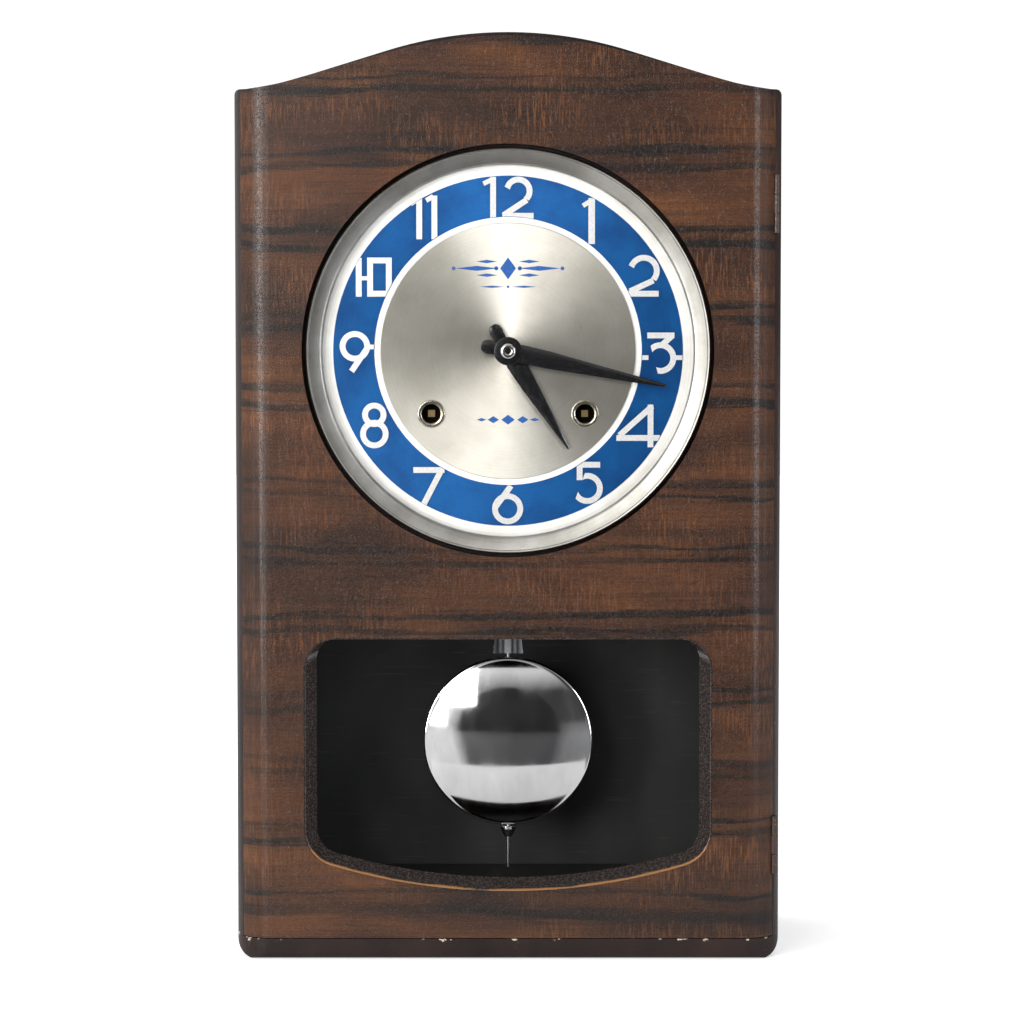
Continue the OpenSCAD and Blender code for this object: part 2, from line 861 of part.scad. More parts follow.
// The twelve numerals as flat strokes about the dial's centre
module numeral_shapes() {
    w = stroke;
    // twelve
    translate([-9.4, 69.8]) square([w, 22]);
    stroke_line([-13, 88.2], [-8, 90.6], w * 0.8);
    stroke_arc([5.4, 84.4], 6, w, 60, 1.6);
    stroke_line([9.9, 79.7], [-2.4, 71.6], w);
    translate([-3, 69.8]) square([16.5, w]);
    // one
    translate([42.4, 56.5]) square([w + 0.4, 24.2]);
    stroke_line([39.5, 76.6], [43, 78.8], w * 0.8);
    // two
    stroke_arc([71.7, 42.4], 6.9, w, 60, 1.4);
    stroke_line([76.8, 37.3], [64.4, 31.6], w);
    translate([62.8, 28.8]) square([16.8, w]);
    // three
    translate([73.6, 6.8]) square([14.4, w]);
    stroke_line([86.6, 8], [80.6, 2.6], w);
    stroke_arc([80.6, -3.6], 6.8, w, 15, 3.4);
    translate([70.9, -4.6]) square([3.4, w * 0.8]);
    translate([87.6, -4.6]) square([4.6, w * 0.8]);
    // four
    stroke_line([76.4, -29], [59, -44.5], w);
    translate([57.4, -47.4]) square([23, w]);
    translate([73.9, -50.8]) square([w, 22.6]);
    // five
    translate([36.4, -61.6]) square([12.4, w]);
    translate([36.4, -68.2]) square([w, 8]);
    stroke_arc([42, -72.6], 6.7, w, -20, 4);
    // six
    stroke_ring([-0.2, -83.4], 6.7, w);
    stroke_line([-6.6, -82.4], [1.6, -71.2], w);
    // seven
    translate([-50.2, -64.4]) square([16.6, w]);
    stroke_line([-35.4, -63], [-44.8, -81.2], w);
    // eight
    stroke_ring([-70.8, -33.6], 4.9, w);
    stroke_ring([-70.8, -43.8], 6, w);
    // nine
    stroke_ring([-81, 2.6], 6.5, w);
    stroke_line([-74.6, 1.4], [-82.8, -10.6], w);
    translate([-73.6, 1]) square([3, w * 0.8]);
    // ten
    translate([-80.4, 28.8]) square([w, 20.4]);
    translate([-78, 37.4]) square([4.4, w * 0.7]);
    stroke_line([-83.6, 44.8], [-79, 47.4], w * 0.8);
    difference() {
        translate([-74.4, 28.8]) square([13, 20.6]);
        translate([-74.4 + w, 28.8 + w]) square([13 - 2 * w, 20.6 - 2 * w]);
    }
    // eleven
    translate([-48.4, 59]) square([w, 23]);
    stroke_line([-51.4, 77.6], [-47.4, 80.2], w * 0.8);
    translate([-40.4, 59]) square([w, 23]);
    stroke_line([-43.2, 79.4], [-39.4, 81.6], w * 0.8);
}

module numerals() {
    color("#e4e6e6")
        slab(dial_front - chapter_t - numeral_t, dial_front - chapter_t)
            translate(centre_at)
                intersection() {
                    numeral_shapes();
                    difference() {
                        circle(chapter_out_r - 0.2);
                        circle(chapter_in_r + 0.2);
                    }
                }
}

// ---------- Hands ----------

// A tapered blade along its own +y, from a rounded tail to a point
module hand_outline(length, tail, width, tail_w) {
    half = width / 2;
    tail_r = tail_w / 2;
    polygon([
        [-half, hand_shoulder], [-hand_tip, length], [hand_tip, length], [half, hand_shoulder],
        [hand_root, 0], [-hand_root, 0]
    ]);
    polygon([[-hand_root, 0], [hand_root, 0], [tail_r, tail_r - tail], [-tail_r, tail_r - tail]]);
    translate([0, tail_r - tail]) circle(tail_r);
}

module hour_hand() {
    color("#111112")
        difference() {
            union() {
                slab(hour_front, hour_front + hand_t)
                    translate(centre_at)
                        rotate(-hour_at) hand_outline(hour_l, hour_tail, hour_w, hour_tail_w);
                bar(centre_at, hour_front, hour_front + hand_t, hour_boss_r);
            }
            bar(centre_at, hour_front - cut, hour_front + hand_t + cut, hour_pipe_r);
        }
}

module hour_wheel() {
    color("#b9993f")
        difference() {
            union() {
                slab(motion_d + 1.7, motion_d + 3)
                    translate(centre_at)
                        polygon(gear_points(hour_teeth, hour_mod, hour_first, 0.19));
                bar(centre_at, hour_front, motion_d + 3, hour_pipe_r);
            }
            bar(centre_at, hour_front - cut, motion_d + 3 + cut, cannon_r + running);
        }
}

module minute_hand() {
    color("#111112")
        difference() {
            union() {
                slab(minute_front, minute_front + hand_t)
                    translate(centre_at)
                        rotate(-minute_at) hand_outline(minute_l, minute_tail, minute_w, minute_tail_w);
                bar(centre_at, minute_front - minute_boss_t, minute_front + hand_t, minute_boss_r);
            }
            bar(centre_at, minute_front - 2 * cut, minute_front + hand_t + cut, centre_pin_r + running);
        }
}

module cannon_pinion() {
    color("#9aa0a4")
        difference() {
            union() {
                pinion(centre_at, cannon_teeth, cannon_mod, motion_d + 3.4, motion_d + 6.4, cannon_first);
                bar(centre_at, minute_front + hand_t, motion_d + 6.4, cannon_r);
            }
            bar(centre_at, minute_front, motion_d + 6.4 + cut, centre_pin_r + running);
        }
}

module hand_nut() {
    color("#d8dadc")
        difference() {
            bar(centre_at, nut_front, nut_front + nut_t, nut_r);
            bar(centre_at, nut_front - cut, nut_front + nut_t + cut, centre_pin_r + running);
        }
}

module minute_wheel() {
    color("#b9993f")
        difference() {
            union() {
                slab(motion_d + 4.4, motion_d + 5.6)
                    translate(motion_at) polygon(gear_points(minute_teeth, cannon_mod, 0, 0.19));
                pinion(motion_at, minute_pinion, hour_mod, motion_d + 1.4, motion_d + 4.4, 0);
            }
            bar(motion_at, motion_d, fp0, stud_r + running);
        }
}

// ---------- Movement frame ----------

module plate_outline() {
    difference() {
        translate([-plate_half, dial_z - plate_low]) square([2 * plate_half, plate_low + plate_high]);
        for (s = [-1, 1])
            translate([s * plate_half, dial_z + plate_high]) rotate(45) square(16, center = true);
    }
}

module pivot_holes(from, to) {
    for (at = [second_at, third_at, escape_at, pin_at, locking_at, warning_at, fly_at])
        bar(at, from - cut, to + cut, pivot_r + running);
    for (at = [time_at, strike_at])
        bar(at, from - cut, to + cut, wind_arbor_r + running);
    bar(anchor_at, from - cut, to + cut, anchor_r + running);
    bar(centre_at, from - cut, to + cut, centre_pin_r + running);
}

module front_plate() {
    color("#b39a5e") {
        difference() {
            slab(fp0, fp1) plate_outline();
            pivot_holes(fp0, fp1);
            movement_screw_shapes();
        }
        bar(motion_at, motion_d + 1, fp0, stud_r);
        for (at = click_at)
            bar(at, ratchet0 - 0.4, fp0, click_pin_r);
    }
}

module back_plate() {
    color("#b39a5e")
        difference() {
            union() {
                slab(bp0, bp1) plate_outline();
                for (at = pillar_at)
                    bar(at, fp1, bp0, pillar_r);
                hammer_bracket();
            }
            pivot_holes(bp0, bp1);
            movement_screw_shapes();
        }
}

// An arm out from the back plate, with two lugs that hold the hammers' arbor
module hammer_bracket() {
    left = min(gong_x) - 8;
    right = max(gong_x) + 8;
    block([left, bp0, hammer_z - 16], [right, bp1, hammer_z + 4]);
    for (x = [left, right - 2])
        block([x, bp1, hammer_z - 4], [x + 2, hammer_d + 4, hammer_z + 4]);
    translate([left, front_y + hammer_d, hammer_z])
        rotate([0, 90, 0])
            cylinder(h = right - left, r = hammer_arbor_r);
}

module movement_screw_shapes() {
    for (at = pillar_at) {
        bar(at, board_front, board_front + 1.6, pillar_r + 0.6);
        bar(at, board_back, fp0, pillar_r);
        bar(at, board_front, fp1 + 8, screw_r);
    }
}

module movement_screws() {
    color("silver") movement_screw_shapes();
}

// A bracket on the back plate whose jaws hold the suspension spring
module suspension_cock() {
    color("#b39a5e")
        difference() {
            union() {
                block([-12, bp1, pivot_z + 6], [12, bp1 + 2, pivot_z + 14]);
                block([-5, bp1 + 2, pivot_z + 6], [5, pendulum_d + 3, pivot_z + 12]);
            }
            block(
                [-3.5, pendulum_d - spring_t / 2, pivot_z],
                [3.5, pendulum_d + spring_t / 2, pivot_z + 20]
            );
        }
}

module suspension_spring() {
    color("#c8ccd0")
        block(
            [-3, pendulum_d - spring_t / 2, pivot_z + 0.2],
            [3, pendulum_d + spring_t / 2, pivot_z + 12]
        );
}

// ---------- Barrels and winding ----------

module barrel(at) {
    difference() {
        union() {
            bar(at, drum0, drum1, barrel_r);
            slab(drum1, drum1 + great_t)
                translate(at) polygon(gear_points(barrel_teeth, barrel_mod, 0, 0.19));
        }
        bar(at, drum0 + 1, drum1 - 0.1, barrel_r - barrel_wall);
        bar(at, drum0 - cut, drum1 + great_t + cut, wind_arbor_r + running);
    }
}

function spiral(r0, r1, turns, t) = [
    for (i = [0 : 24 * turns])
        let (a = i * 15, r = r0 + (r1 - r0) * i / (24 * turns))
        [(r + t) * cos(a), (r + t) * sin(a)]
];

module mainspring(at) {
    inner = spiral(hub_r + 0.6, barrel_r - barrel_wall - 1, 8, 0);
    outer = spiral(hub_r + 0.6, barrel_r - barrel_wall - 1, 8, 0.7);
    slab(drum0 + 1.4, drum1 - 0.5)
        translate(at)
            polygon(concat(outer, [for (i = [len(inner) - 1 : -1 : 0]) inner[i]]));
}

module winding_arbor(at) {
    slab(board_back - 2.2, ratchet0) translate(at) square(square_w, center = true);
    bar(at, ratchet0, bp1 - 0.2, wind_arbor_r);
    slab(ratchet0, ratchet1) translate(at) polygon(saw_points(ratchet_teeth, ratchet_r, 1.3, 0.75));
    bar(at, drum0 + 1.2, drum1 - 0.3, hub_r);
}

// A pawl whose nose points at the ratchet, held just clear of the teeth
module click(at, pin) {
    nose = step(at, ratchet_r + 1.1, bearing(at, pin) + click_lean);
    slab(ratchet0, ratchet1)
        difference() {
            hull() {
                translate(pin) circle(2.6, $fn = 32);
                translate(nose) circle(0.5, $fn = 16);
            }
            translate(pin) circle(click_pin_r + running);
        }
}

module time_barrel() {
    color("#b9993f") barrel(time_at);
}

module time_mainspring() {
    color("#5b6470") mainspring(time_at);
}

module time_winding_arbor() {
    color("#9aa0a4") winding_arbor(time_at);
}

module strike_barrel() {
    color("#b9993f") barrel(strike_at);
}

module strike_mainspring() {
    color("#5b6470") mainspring(strike_at);
}

module strike_winding_arbor() {
    color("#9aa0a4") winding_arbor(strike_at);
}

// ---------- Going train ----------

module second_wheel() {
    color("#b9993f") {
        wheel(second_at, second_teeth, second_mod, second_d, second_d + heavy_t, 0, 5, 4);
        pinion_on(
            second_at, barrel_pinion, barrel_mod, drum1, great_t,
            mesh_angle(time_at, barrel_teeth, second_at, barrel_pinion)
        );
        arbor(second_at, 1.2, pivot_r);
    }
}

module centre_wheel() {
    color("#b9993f") {
        wheel(centre_at, centre_teeth, centre_mod, centre_d, centre_d + heavy_t, 0, 4, 4);
        pinion_on(
            centre_at, centre_pinion, second_mod, second_d, heavy_t,
            mesh_angle(second_at, second_teeth, centre_at, centre_pinion)
        );
        bar(centre_at, nut_front, bp1 - 0.3, centre_pin_r);
    }
}

module third_wheel() {
    color("#b9993f") {
        wheel(third_at, third_teeth, third_mod, third_d, third_d + train_t, 0, 4, 3);
        pinion_on(
            third_at, third_pinion, centre_mod, centre_d, heavy_t,
            mesh_angle(centre_at, centre_teeth, third_at, third_pinion)
        );
        arbor(third_at, 1, pivot_r);
    }
}

module escape_wheel() {
    color("#b9993f") {
        slab(escape_d, escape_d + train_t)
            translate(escape_at)
                difference() {
                    polygon(saw_points(escape_teeth, escape_r, 1.3, 0.35));
                    difference() {
                        circle(escape_r - 3);
                        circle(3);
                        for (i = [0 : 3])
                            rotate(i * 90) translate([0, -0.8]) square([escape_r, 1.6]);
                    }
                }
        pinion_on(
            escape_at, escape_pinion, third_mod, third_d, train_t,
            mesh_angle(third_at, third_teeth, escape_at, escape_pinion)
        );
        arbor(escape_at, 0.9, pivot_r);
    }
}

// The anchor's two arms end in pallets that stay just clear of the escape wheel
module anchor() {
    color("#7d848a") {
        slab(escape_d - 0.4, escape_d + train_t + 0.4)
            translate(anchor_at) {
                circle(2.2);
                for (s = [-1, 1]) {
                    stroke_line([0, 0], [s * pallet_x, -3.4], 2.2);
                    stroke_line([s * pallet_x, -2.6], [s * pallet_x, -6.2], 1.8);
                }
            }
        bar(anchor_at, fp0 + 0.3, bp1 + 5, anchor_r);
    }
}

module crutch() {
    color("#9aa0a4") {
        difference() {
            union() {
                bar(anchor_at, bp1 + 2.4, bp1 + 4.4, 3);
                block([-1.5, bp1 + 2.8, pivot_z - 42], [1.5, bp1 + 4, pivot_z - 2]);
            }
            bar(anchor_at, bp1, bp1 + 6, anchor_r);
        }
        block([-4.4, bp1 + 2.8, pivot_z - 46], [4.4, bp1 + 4, pivot_z - 42]);
        for (s = [-1, 1])
            block(
                [s > 0 ? rod_r + running : -4.4, bp1 + 4, pivot_z - 46],
                [s > 0 ? 4.4 : -rod_r - running, pendulum_d + 2, pivot_z - 43]
            );
    }
}

// ---------- Strike train ----------

module pin_wheel() {
    color("#b9993f") {
        wheel(pin_at, pin_teeth, pin_mod, second_d, second_d + heavy_t, 0, 4, 4);
        for (i = [0 : 7])
            bar(step(pin_at, lift_pin_at, i * 45), second_d - 1.2, second_d, lift_pin_r);
        pinion_on(
            pin_at, barrel_pinion, barrel_mod, drum1, great_t,
            mesh_angle(strike_at, barrel_teeth, pin_at, barrel_pinion)
        );
        arbor(pin_at, 1.2, pivot_r);
    }
}

module locking_wheel() {
    color("#b9993f") {
        wheel(locking_at, locking_teeth, locking_mod, locking_d, locking_d + train_t, 0, 4, 3);
        pinion_on(
            locking_at, locking_pinion, pin_mod, second_d, heavy_t,
            mesh_angle(pin_at, pin_teeth, locking_at, locking_pinion)
        );
        arbor(locking_at, 1, pivot_r);
    }
}

module warning_wheel() {
    color("#b9993f") {
        wheel(warning_at, warning_teeth, warning_mod, warning_d, warning_d + train_t, 0, 4, 3);
        pinion_on(
            warning_at, warning_pinion, locking_mod, locking_d, train_t,
            mesh_angle(locking_at, locking_teeth, warning_at, warning_pinion)
        );
        arbor(warning_at, 0.9, pivot_r);
    }
}

module fly() {
    color("#b9993f") {
        block(
            [fly_at[0] - fly_half, fly_d, fly_at[1] - fly_t / 2],
            [fly_at[0] + fly_half, fly_d + fly_l, fly_at[1] + fly_t / 2]
        );
        pinion_on(
            fly_at, fly_pinion, warning_mod, warning_d, train_t,
            mesh_angle(warning_at, warning_teeth, fly_at, fly_pinion)
        );
        arbor(fly_at, 0.9, pivot_r);
    }
}

// A hammer on the common arbor, its leather tip just clear of the gong rod
module hammer(x) {
    difference() {
        union() {
            translate([x - 3, front_y + hammer_d, hammer_z])
                rotate([0, 90, 0])
                    cylinder(h = 6, r = 3);
            block([x - 1.2, hammer_d - 1.2, hammer_z + 2], [x + 1.2, hammer_d + 1.2, hammer_z + 30]);
            bar([x, hammer_z + 30], hammer_d - 5, hammer_d + 9, 5);
            bar([x, hammer_z + 30], hammer_d + 9, rod_d - gong_r - hammer_gap, 3);
        }
        translate([x - 4, front_y + hammer_d, hammer_z])
            rotate([0, 90, 0])
                cylinder(h = 8, r = hammer_arbor_r + running);
    }
}

module hammer_long() {
    color("#b9993f") hammer(gong_x[0]);
}

module hammer_short() {
    color("#b9993f") hammer(gong_x[1]);
}

module time_click() {
    color("#9aa0a4") click(time_at, click_at[0]);
}

module strike_click() {
    color("#9aa0a4") click(strike_at, click_at[1]);
}

// ---------- Pendulum ----------

module pendulum_rod() {
    color("#c8ccd0") {
        block(
            [-3, pendulum_d - spring_t / 2, pivot_z - 12],
            [3, pendulum_d + spring_t / 2, pivot_z - 0.2]
        );
        block([-5, pendulum_d - 2, pivot_z - 20], [5, pendulum_d + 2, pivot_z - 11]);
        translate([0, front_y + pendulum_d, bracket_z])
            cylinder(h = pivot_z - 20 - bracket_z, r = rod_r);
        translate([0, front_y + pendulum_d, pin_tip])
            cylinder(h = bracket_z - pin_tip, r = pin_r);
    }
}

// A folded sleeve that flares a little towards the bob
module pendulum_bracket() {
    color("#d9dcdf")
        translate([0, front_y + pendulum_d, 0])
            difference() {
                union() {
                    translate([-bracket_half, -3, bracket_z + 6])
                        cube([2 * bracket_half, 6, bracket_h - 6]);
                    rotate([90, 0, 0])
                        linear_extrude(6, center = true)
                            polygon([
                                [-bracket_half - 0.8, bracket_z], [bracket_half + 0.8, bracket_z],
                                [bracket_half, bracket_z + 6], [-bracket_half, bracket_z + 6]
                            ]);
                }
                translate([0, 0, bracket_z]) cylinder(h = bracket_h + cut, r = rod_r);
                translate([0, 0, bracket_z - cut]) cylinder(h = 2 * cut, r = pin_r);
            }
}

// A lens about the y axis, spun from two arcs that end in a flat rim
module lens(r, half_t, rim) {
    dome_t = half_t - rim / 2;
    dome = (r * r + dome_t * dome_t) / (2 * dome_t);
    rotate([90, 0, 0])
        rotate_extrude($fn = fine)
            intersection() {
                translate([0, -half_t]) square([r, 2 * half_t]);
                translate([0, half_t - dome]) circle(dome, $fn = fine);
                translate([0, dome - half_t]) circle(dome, $fn = fine);
            }
}

module bob_shell() {
    color("#d9dcdf")
        translate([0, front_y + pendulum_d, bob_z])
            difference() {
                lens(bob_r, bob_t / 2, bob_rim);
                lens(bob_r - bob_lip, bob_t / 2 - bob_skin, 0.4);
                cylinder(h = 2 * bob_r + 2 * cut, r = pin_r + running, center = true);
            }
}

module bob_weight() {
    color("#3a3d40")
        translate([0, front_y + pendulum_d, bob_z])
            difference() {
                intersection() {
                    lens(bob_r - bob_lip, bob_t / 2 - bob_skin, 0.4);
                    rotate([90, 0, 0]) cylinder(h = bob_t, r = bob_r / 2, center = true);
                }
                cylinder(h = 2 * bob_r, r = pin_r + running, center = true);
            }
}

module rating_nut() {
    color("#d9dcdf")
        translate([0, front_y + pendulum_d, nut_z - nut_h])
            difference() {
                union() {
                    cylinder(h = nut_h - 1.6, r1 = 2.2, r2 = 4.4);
                    translate([0, 0, nut_h - 1.6]) cylinder(h = 1.6, r = 4.4);
                }
                translate([0, 0, -cut]) cylinder(h = nut_h + 2 * cut, r = pin_r + running);
            }
}

base_plinth();
bottom_board();
left_side_board();
right_side_board();
top_board();
back_board();
wood_screws();
hanger_plate();
dial_board();
dial_plate();
chapter_ring();
numerals();
dial_centre();
winding_grommets();
dial_bezel();
front_plate();
back_plate();
movement_screws();
suspension_cock();
suspension_spring();
gong_block();
gong_rods();
catch_clip();
hinge_case_leaves();
door_panel();
window_lining();
hinge_door_leaves();
hinge_pins();
catch_stud();
minute_hand();
hand_nut();
cannon_pinion();
hour_hand();
hour_wheel();
minute_wheel();
time_barrel();
time_mainspring();
time_winding_arbor();
time_click();
second_wheel();
centre_wheel();
third_wheel();
escape_wheel();
anchor();
crutch();
strike_barrel();
strike_mainspring();
strike_winding_arbor();
strike_click();
pin_wheel();
locking_wheel();
warning_wheel();
fly();
hammer_long();
hammer_short();
pendulum_rod();
pendulum_bracket();
bob_shell();
bob_weight();
rating_nut();
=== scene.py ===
import math

import bpy
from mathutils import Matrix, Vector


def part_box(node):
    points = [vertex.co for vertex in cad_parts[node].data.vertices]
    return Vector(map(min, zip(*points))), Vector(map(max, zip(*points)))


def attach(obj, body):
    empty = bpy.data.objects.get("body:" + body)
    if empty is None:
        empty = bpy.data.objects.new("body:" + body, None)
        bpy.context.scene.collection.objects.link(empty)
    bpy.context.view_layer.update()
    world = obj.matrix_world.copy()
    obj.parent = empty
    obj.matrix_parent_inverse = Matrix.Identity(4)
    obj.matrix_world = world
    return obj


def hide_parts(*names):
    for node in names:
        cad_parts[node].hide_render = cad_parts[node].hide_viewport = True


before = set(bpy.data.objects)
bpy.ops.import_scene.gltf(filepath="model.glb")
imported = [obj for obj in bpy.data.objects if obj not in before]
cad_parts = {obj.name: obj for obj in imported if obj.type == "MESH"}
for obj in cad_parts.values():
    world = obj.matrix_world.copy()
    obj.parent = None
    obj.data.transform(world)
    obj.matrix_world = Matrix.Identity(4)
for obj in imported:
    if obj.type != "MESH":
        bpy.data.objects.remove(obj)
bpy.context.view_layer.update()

# ---------- Camera and room ----------
# A long lens a pace and a half in front of the door, level with the dial's lower edge and tipped
# slightly down. The room is bright on the left, with windows high up, and darker on the right.
face_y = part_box("door_panel")[0].y
camera_side, camera_back, camera_height = 0.0021, 1.5, 0.312
camera_tip = math.radians(2.83)
lens = bpy.data.cameras.new("long_lens")
lens.lens = 100.2
lens.sensor_width = 36
camera = bpy.data.objects.new("camera", lens)
bpy.context.scene.collection.objects.link(camera)
camera.location = (camera_side, face_y - camera_back, camera_height)
camera.rotation_euler = (math.pi / 2 - camera_tip, 0, 0)
bpy.context.scene.camera = camera
bpy.context.scene.view_settings.view_transform = "Standard"


def add(tree, kind, sockets=None, **settings):
    """Adds one shader node; a node given for a socket links its first output."""
    made = tree.nodes.new("ShaderNode" + kind)
    for key, value in settings.items():
        setattr(made, key, value)
    for key, value in (sockets or {}).items():
        if isinstance(value, bpy.types.Node):
            value = value.outputs[0]
        if isinstance(value, bpy.types.NodeSocket):
            tree.links.new(value, made.inputs[key])
        else:
            made.inputs[key].default_value = value
    return made


def linear(code):
    """An sRGB hex colour as linear RGBA."""
    parts = [int(code[i : i + 2], 16) / 255 for i in (1, 3, 5)]
    return [c / 12.92 if c <= 0.04045 else ((c + 0.055) / 1.055) ** 2.4 for c in parts] + [1.0]


def stops(ramp, marks, smooth="LINEAR"):
    """Gives a colour ramp its marks, as (place, hex colour or grey level)."""
    ramp.color_ramp.interpolation = smooth
    elements = ramp.color_ramp.elements
    while len(elements) > 1:
        elements.remove(elements[-1])
    for i, (place, colour) in enumerate(marks):
        mark = elements[0] if i == 0 else elements.new(place)
        mark.position = place
        mark.color = linear(colour) if isinstance(colour, str) else (colour, colour, colour, 1)
    return ramp


# What the chrome and the lacquer see round them: a level from left to right and a band of windows.
room = bpy.data.worlds.new("studio_room")
bpy.context.scene.world = room
room.use_nodes = True
tree = room.node_tree
towards = add(tree, "TexCoord")
parts = add(tree, "SeparateXYZ", {0: towards.outputs["Generated"]})
side = add(
    tree, "MapRange",
    {"Value": parts.outputs["X"], "From Min": -0.7, "From Max": 0.6, "To Min": 1.0, "To Max": 0.0},
    interpolation_type="SMOOTHSTEP",
)
level = stops(add(tree, "ValToRGB", {"Fac": side.outputs[0]}), [(0, 0.05), (0.5, 0.08), (1, 0.8)])
upward = stops(
    add(tree, "ValToRGB", {"Fac": parts.outputs["Z"]}),
    [(0.18, 0.0), (0.30, 0.75), (0.42, 0.55), (0.56, 0.05)],
)
level = add(tree, "MixRGB", {"Fac": 1.0, "Color1": level, "Color2": upward}, blend_type="ADD")
seen = add(tree, "LightPath")
paper_white = (1.05, 1.05, 1.05, 1)
shown = add(
    tree, "MixRGB", {"Fac": seen.outputs["Is Camera Ray"], "Color1": level, "Color2": paper_white},
)
tree.links.new(shown.outputs[0], tree.nodes["Background"].inputs["Color"])


def panel_light(name, place, aim, size, power, colour="#ffffff"):
    """A soft box that shines at a point and isn't seen by the camera."""
    lamp = bpy.data.lights.new(name, "AREA")
    lamp.shape = "RECTANGLE"
    lamp.size, lamp.size_y = size
    lamp.energy = power
    lamp.color = linear(colour)[:3]
    holder = bpy.data.objects.new(name, lamp)
    bpy.context.scene.collection.objects.link(holder)
    holder.location = place
    holder.rotation_euler = (Vector(aim) - Vector(place)).to_track_quat("-Z", "Y").to_euler()
    holder.visible_camera = False
    return holder


panel_light("key_softbox", (-1.35, -1.75, 0.75), (0, 0, 0.25), (1.3, 1.5), 12, "#fffaf6")
panel_light("top_softbox", (-0.2, -1.6, 2.0), (0, 0, 0.2), (1.6, 0.9), 2)
panel_light("sheen_card", (-0.46, -1.5, 0.62), (-0.1, 0, 0.35), (0.28, 0.7), 3.2)
panel_light("right_card", (1.25, -1.45, 0.34), (0, 0, 0.3), (0.35, 0.9), 10, "#f4f8ff")
panel_light("left_card", (-1.25, -1.45, 0.34), (0, 0, 0.32), (0.35, 0.9), 15)
panel_light("right_strip", (1.5, -0.55, 0.5), (0.1, 0, 0.25), (0.25, 1.3), 2.5, "#f4f7ff")
panel_light("floor_wash", (0, 0.2, 2.6), (0, 0.5, 0), (3.0, 3.0), 22)


def start_clean():
    """Object mode with nothing selected."""
    if bpy.context.object and bpy.context.object.mode != "OBJECT":
        bpy.ops.object.mode_set(mode="OBJECT")
    bpy.ops.object.select_all(action="DESELECT")


def settle(piece):
    """Puts the piece's place into its mesh."""
    start_clean()
    piece.select_set(True)
    bpy.context.view_layer.objects.active = piece
    bpy.ops.object.transform_apply(location=True, rotation=True, scale=True)


# The floor is white paper that glows a little more away from the clock, so it meets the wall without a
# line. Glossy rays see a painted reflection instead: a forearm's length in front the floor turns a dark
# tabletop colour, with glowing strips at the sides painted as the room's windows.
floor_size, floor_drop, table_end_y = 14, 0.0004, -0.34
start_clean()
bpy.ops.mesh.primitive_plane_add(size=floor_size, location=(0, 0, -floor_drop))
floor = bpy.context.object
floor.name = "floor"
settle(floor)
white_paper = bpy.data.materials.new("white_paper")
white_paper.use_nodes = True
tree = white_paper.node_tree
paper = tree.nodes["Principled BSDF"]
paper.inputs["Base Color"].default_value = linear("#f2f2f2")
paper.inputs["Roughness"].default_value = 0.9
paper.inputs["Emission Color"].default_value = (1, 1, 1, 1)
away = add(tree, "VectorMath", {0: add(tree, "TexCoord").outputs["Object"]}, operation="LENGTH")
glow = add(
    tree, "MapRange",
    {"Value": away.outputs["Value"], "From Min": 0.15, "From Max": 0.9, "To Min": 0.55, "To Max": 1.1},
    interpolation_type="SMOOTHSTEP",
)
ground = add(tree, "SeparateXYZ", {0: add(tree, "TexCoord").outputs["Object"]})
table_end = add(tree, "Math", {0: ground.outputs["Y"], 1: table_end_y}, operation="LESS_THAN")
seen = add(tree, "LightPath")
mirrored = add(tree, "Math", {0: seen.outputs["Is Glossy Ray"], 1: table_end}, operation="MULTIPLY")
painted_table_tone = add(tree, "MixRGB", {"Fac": mirrored, "Color1": linear("#f2f2f2"), "Color2": linear("#2a2a2c")})
tree.links.new(painted_table_tone.outputs[0], paper.inputs["Base Color"])
near = add(tree, "MapRange", {"Value": seen.outputs["Is Glossy Ray"], "To Min": 1.0, "To Max": 0.05})
shine = add(tree, "Math", {0: glow.outputs[0], 1: near.outputs[0]}, operation="MULTIPLY")
kept = add(tree, "Math", {0: 1.0, 1: mirrored}, operation="SUBTRACT")
inside = add(tree, "Math", {0: shine, 1: kept}, operation="MULTIPLY")
slant = add(tree, "Math", {0: ground.outputs["X"], 1: ground.outputs["Y"]}, operation="DIVIDE")
# Painted window reflections: bright emissive strips at the sides past that line, seen by glossy rays
# only.
beyond = stops(add(tree, "ValToRGB", {"Fac": add(tree, "Math", {0: slant, 1: 0.5}, operation="ADD")}),
               [(0.08, 0.16), (0.18, 0.01), (0.80, 0.01), (0.90, 0.75)])
painted_window_strips = add(tree, "Math", {0: beyond, 1: mirrored}, operation="MULTIPLY")
strength = add(tree, "Math", {0: inside, 1: painted_window_strips}, operation="ADD")
tree.links.new(strength.outputs[0], paper.inputs["Emission Strength"])
floor.data.materials.append(white_paper)
# A round black felt flag behind the camera gives the chrome its dark middle.
flag_place, flag_half_w, flag_half_h = (0.0, -1.62, -0.02), 0.56, 0.5
bpy.ops.mesh.primitive_circle_add(
    vertices=48, radius=1, fill_type="NGON", location=flag_place, rotation=(math.pi / 2, 0, 0),
)
flag = bpy.context.object
flag.name = "dark_flag"
flag.scale = (flag_half_w, flag_half_h, 1)
settle(flag)
flag.visible_camera = False
flag.visible_shadow = False
black_felt = bpy.data.materials.new("black_felt")
black_felt.use_nodes = True
black_felt.node_tree.nodes["Principled BSDF"].inputs["Base Color"].default_value = linear("#131313")
flag.data.materials.append(black_felt)


# ---------- Door ----------
# The door is a board 8 mm thick, faced with a streaked dark veneer whose grain runs across, under a
# thick gloss lacquer. Its upright edges are rounded and its top follows the case's arch.
def finish(name, settings):
    """A new material, its node tree and its shader, with the shader's plain settings."""
    made = bpy.data.materials.new(name)
    made.use_nodes = True
    shader = made.node_tree.nodes["Principled BSDF"]
    for key, value in settings.items():
        shader.inputs[key].default_value = value
    return made, made.node_tree, shader


merge_reach = 2e-6  # points nearer than this are one point


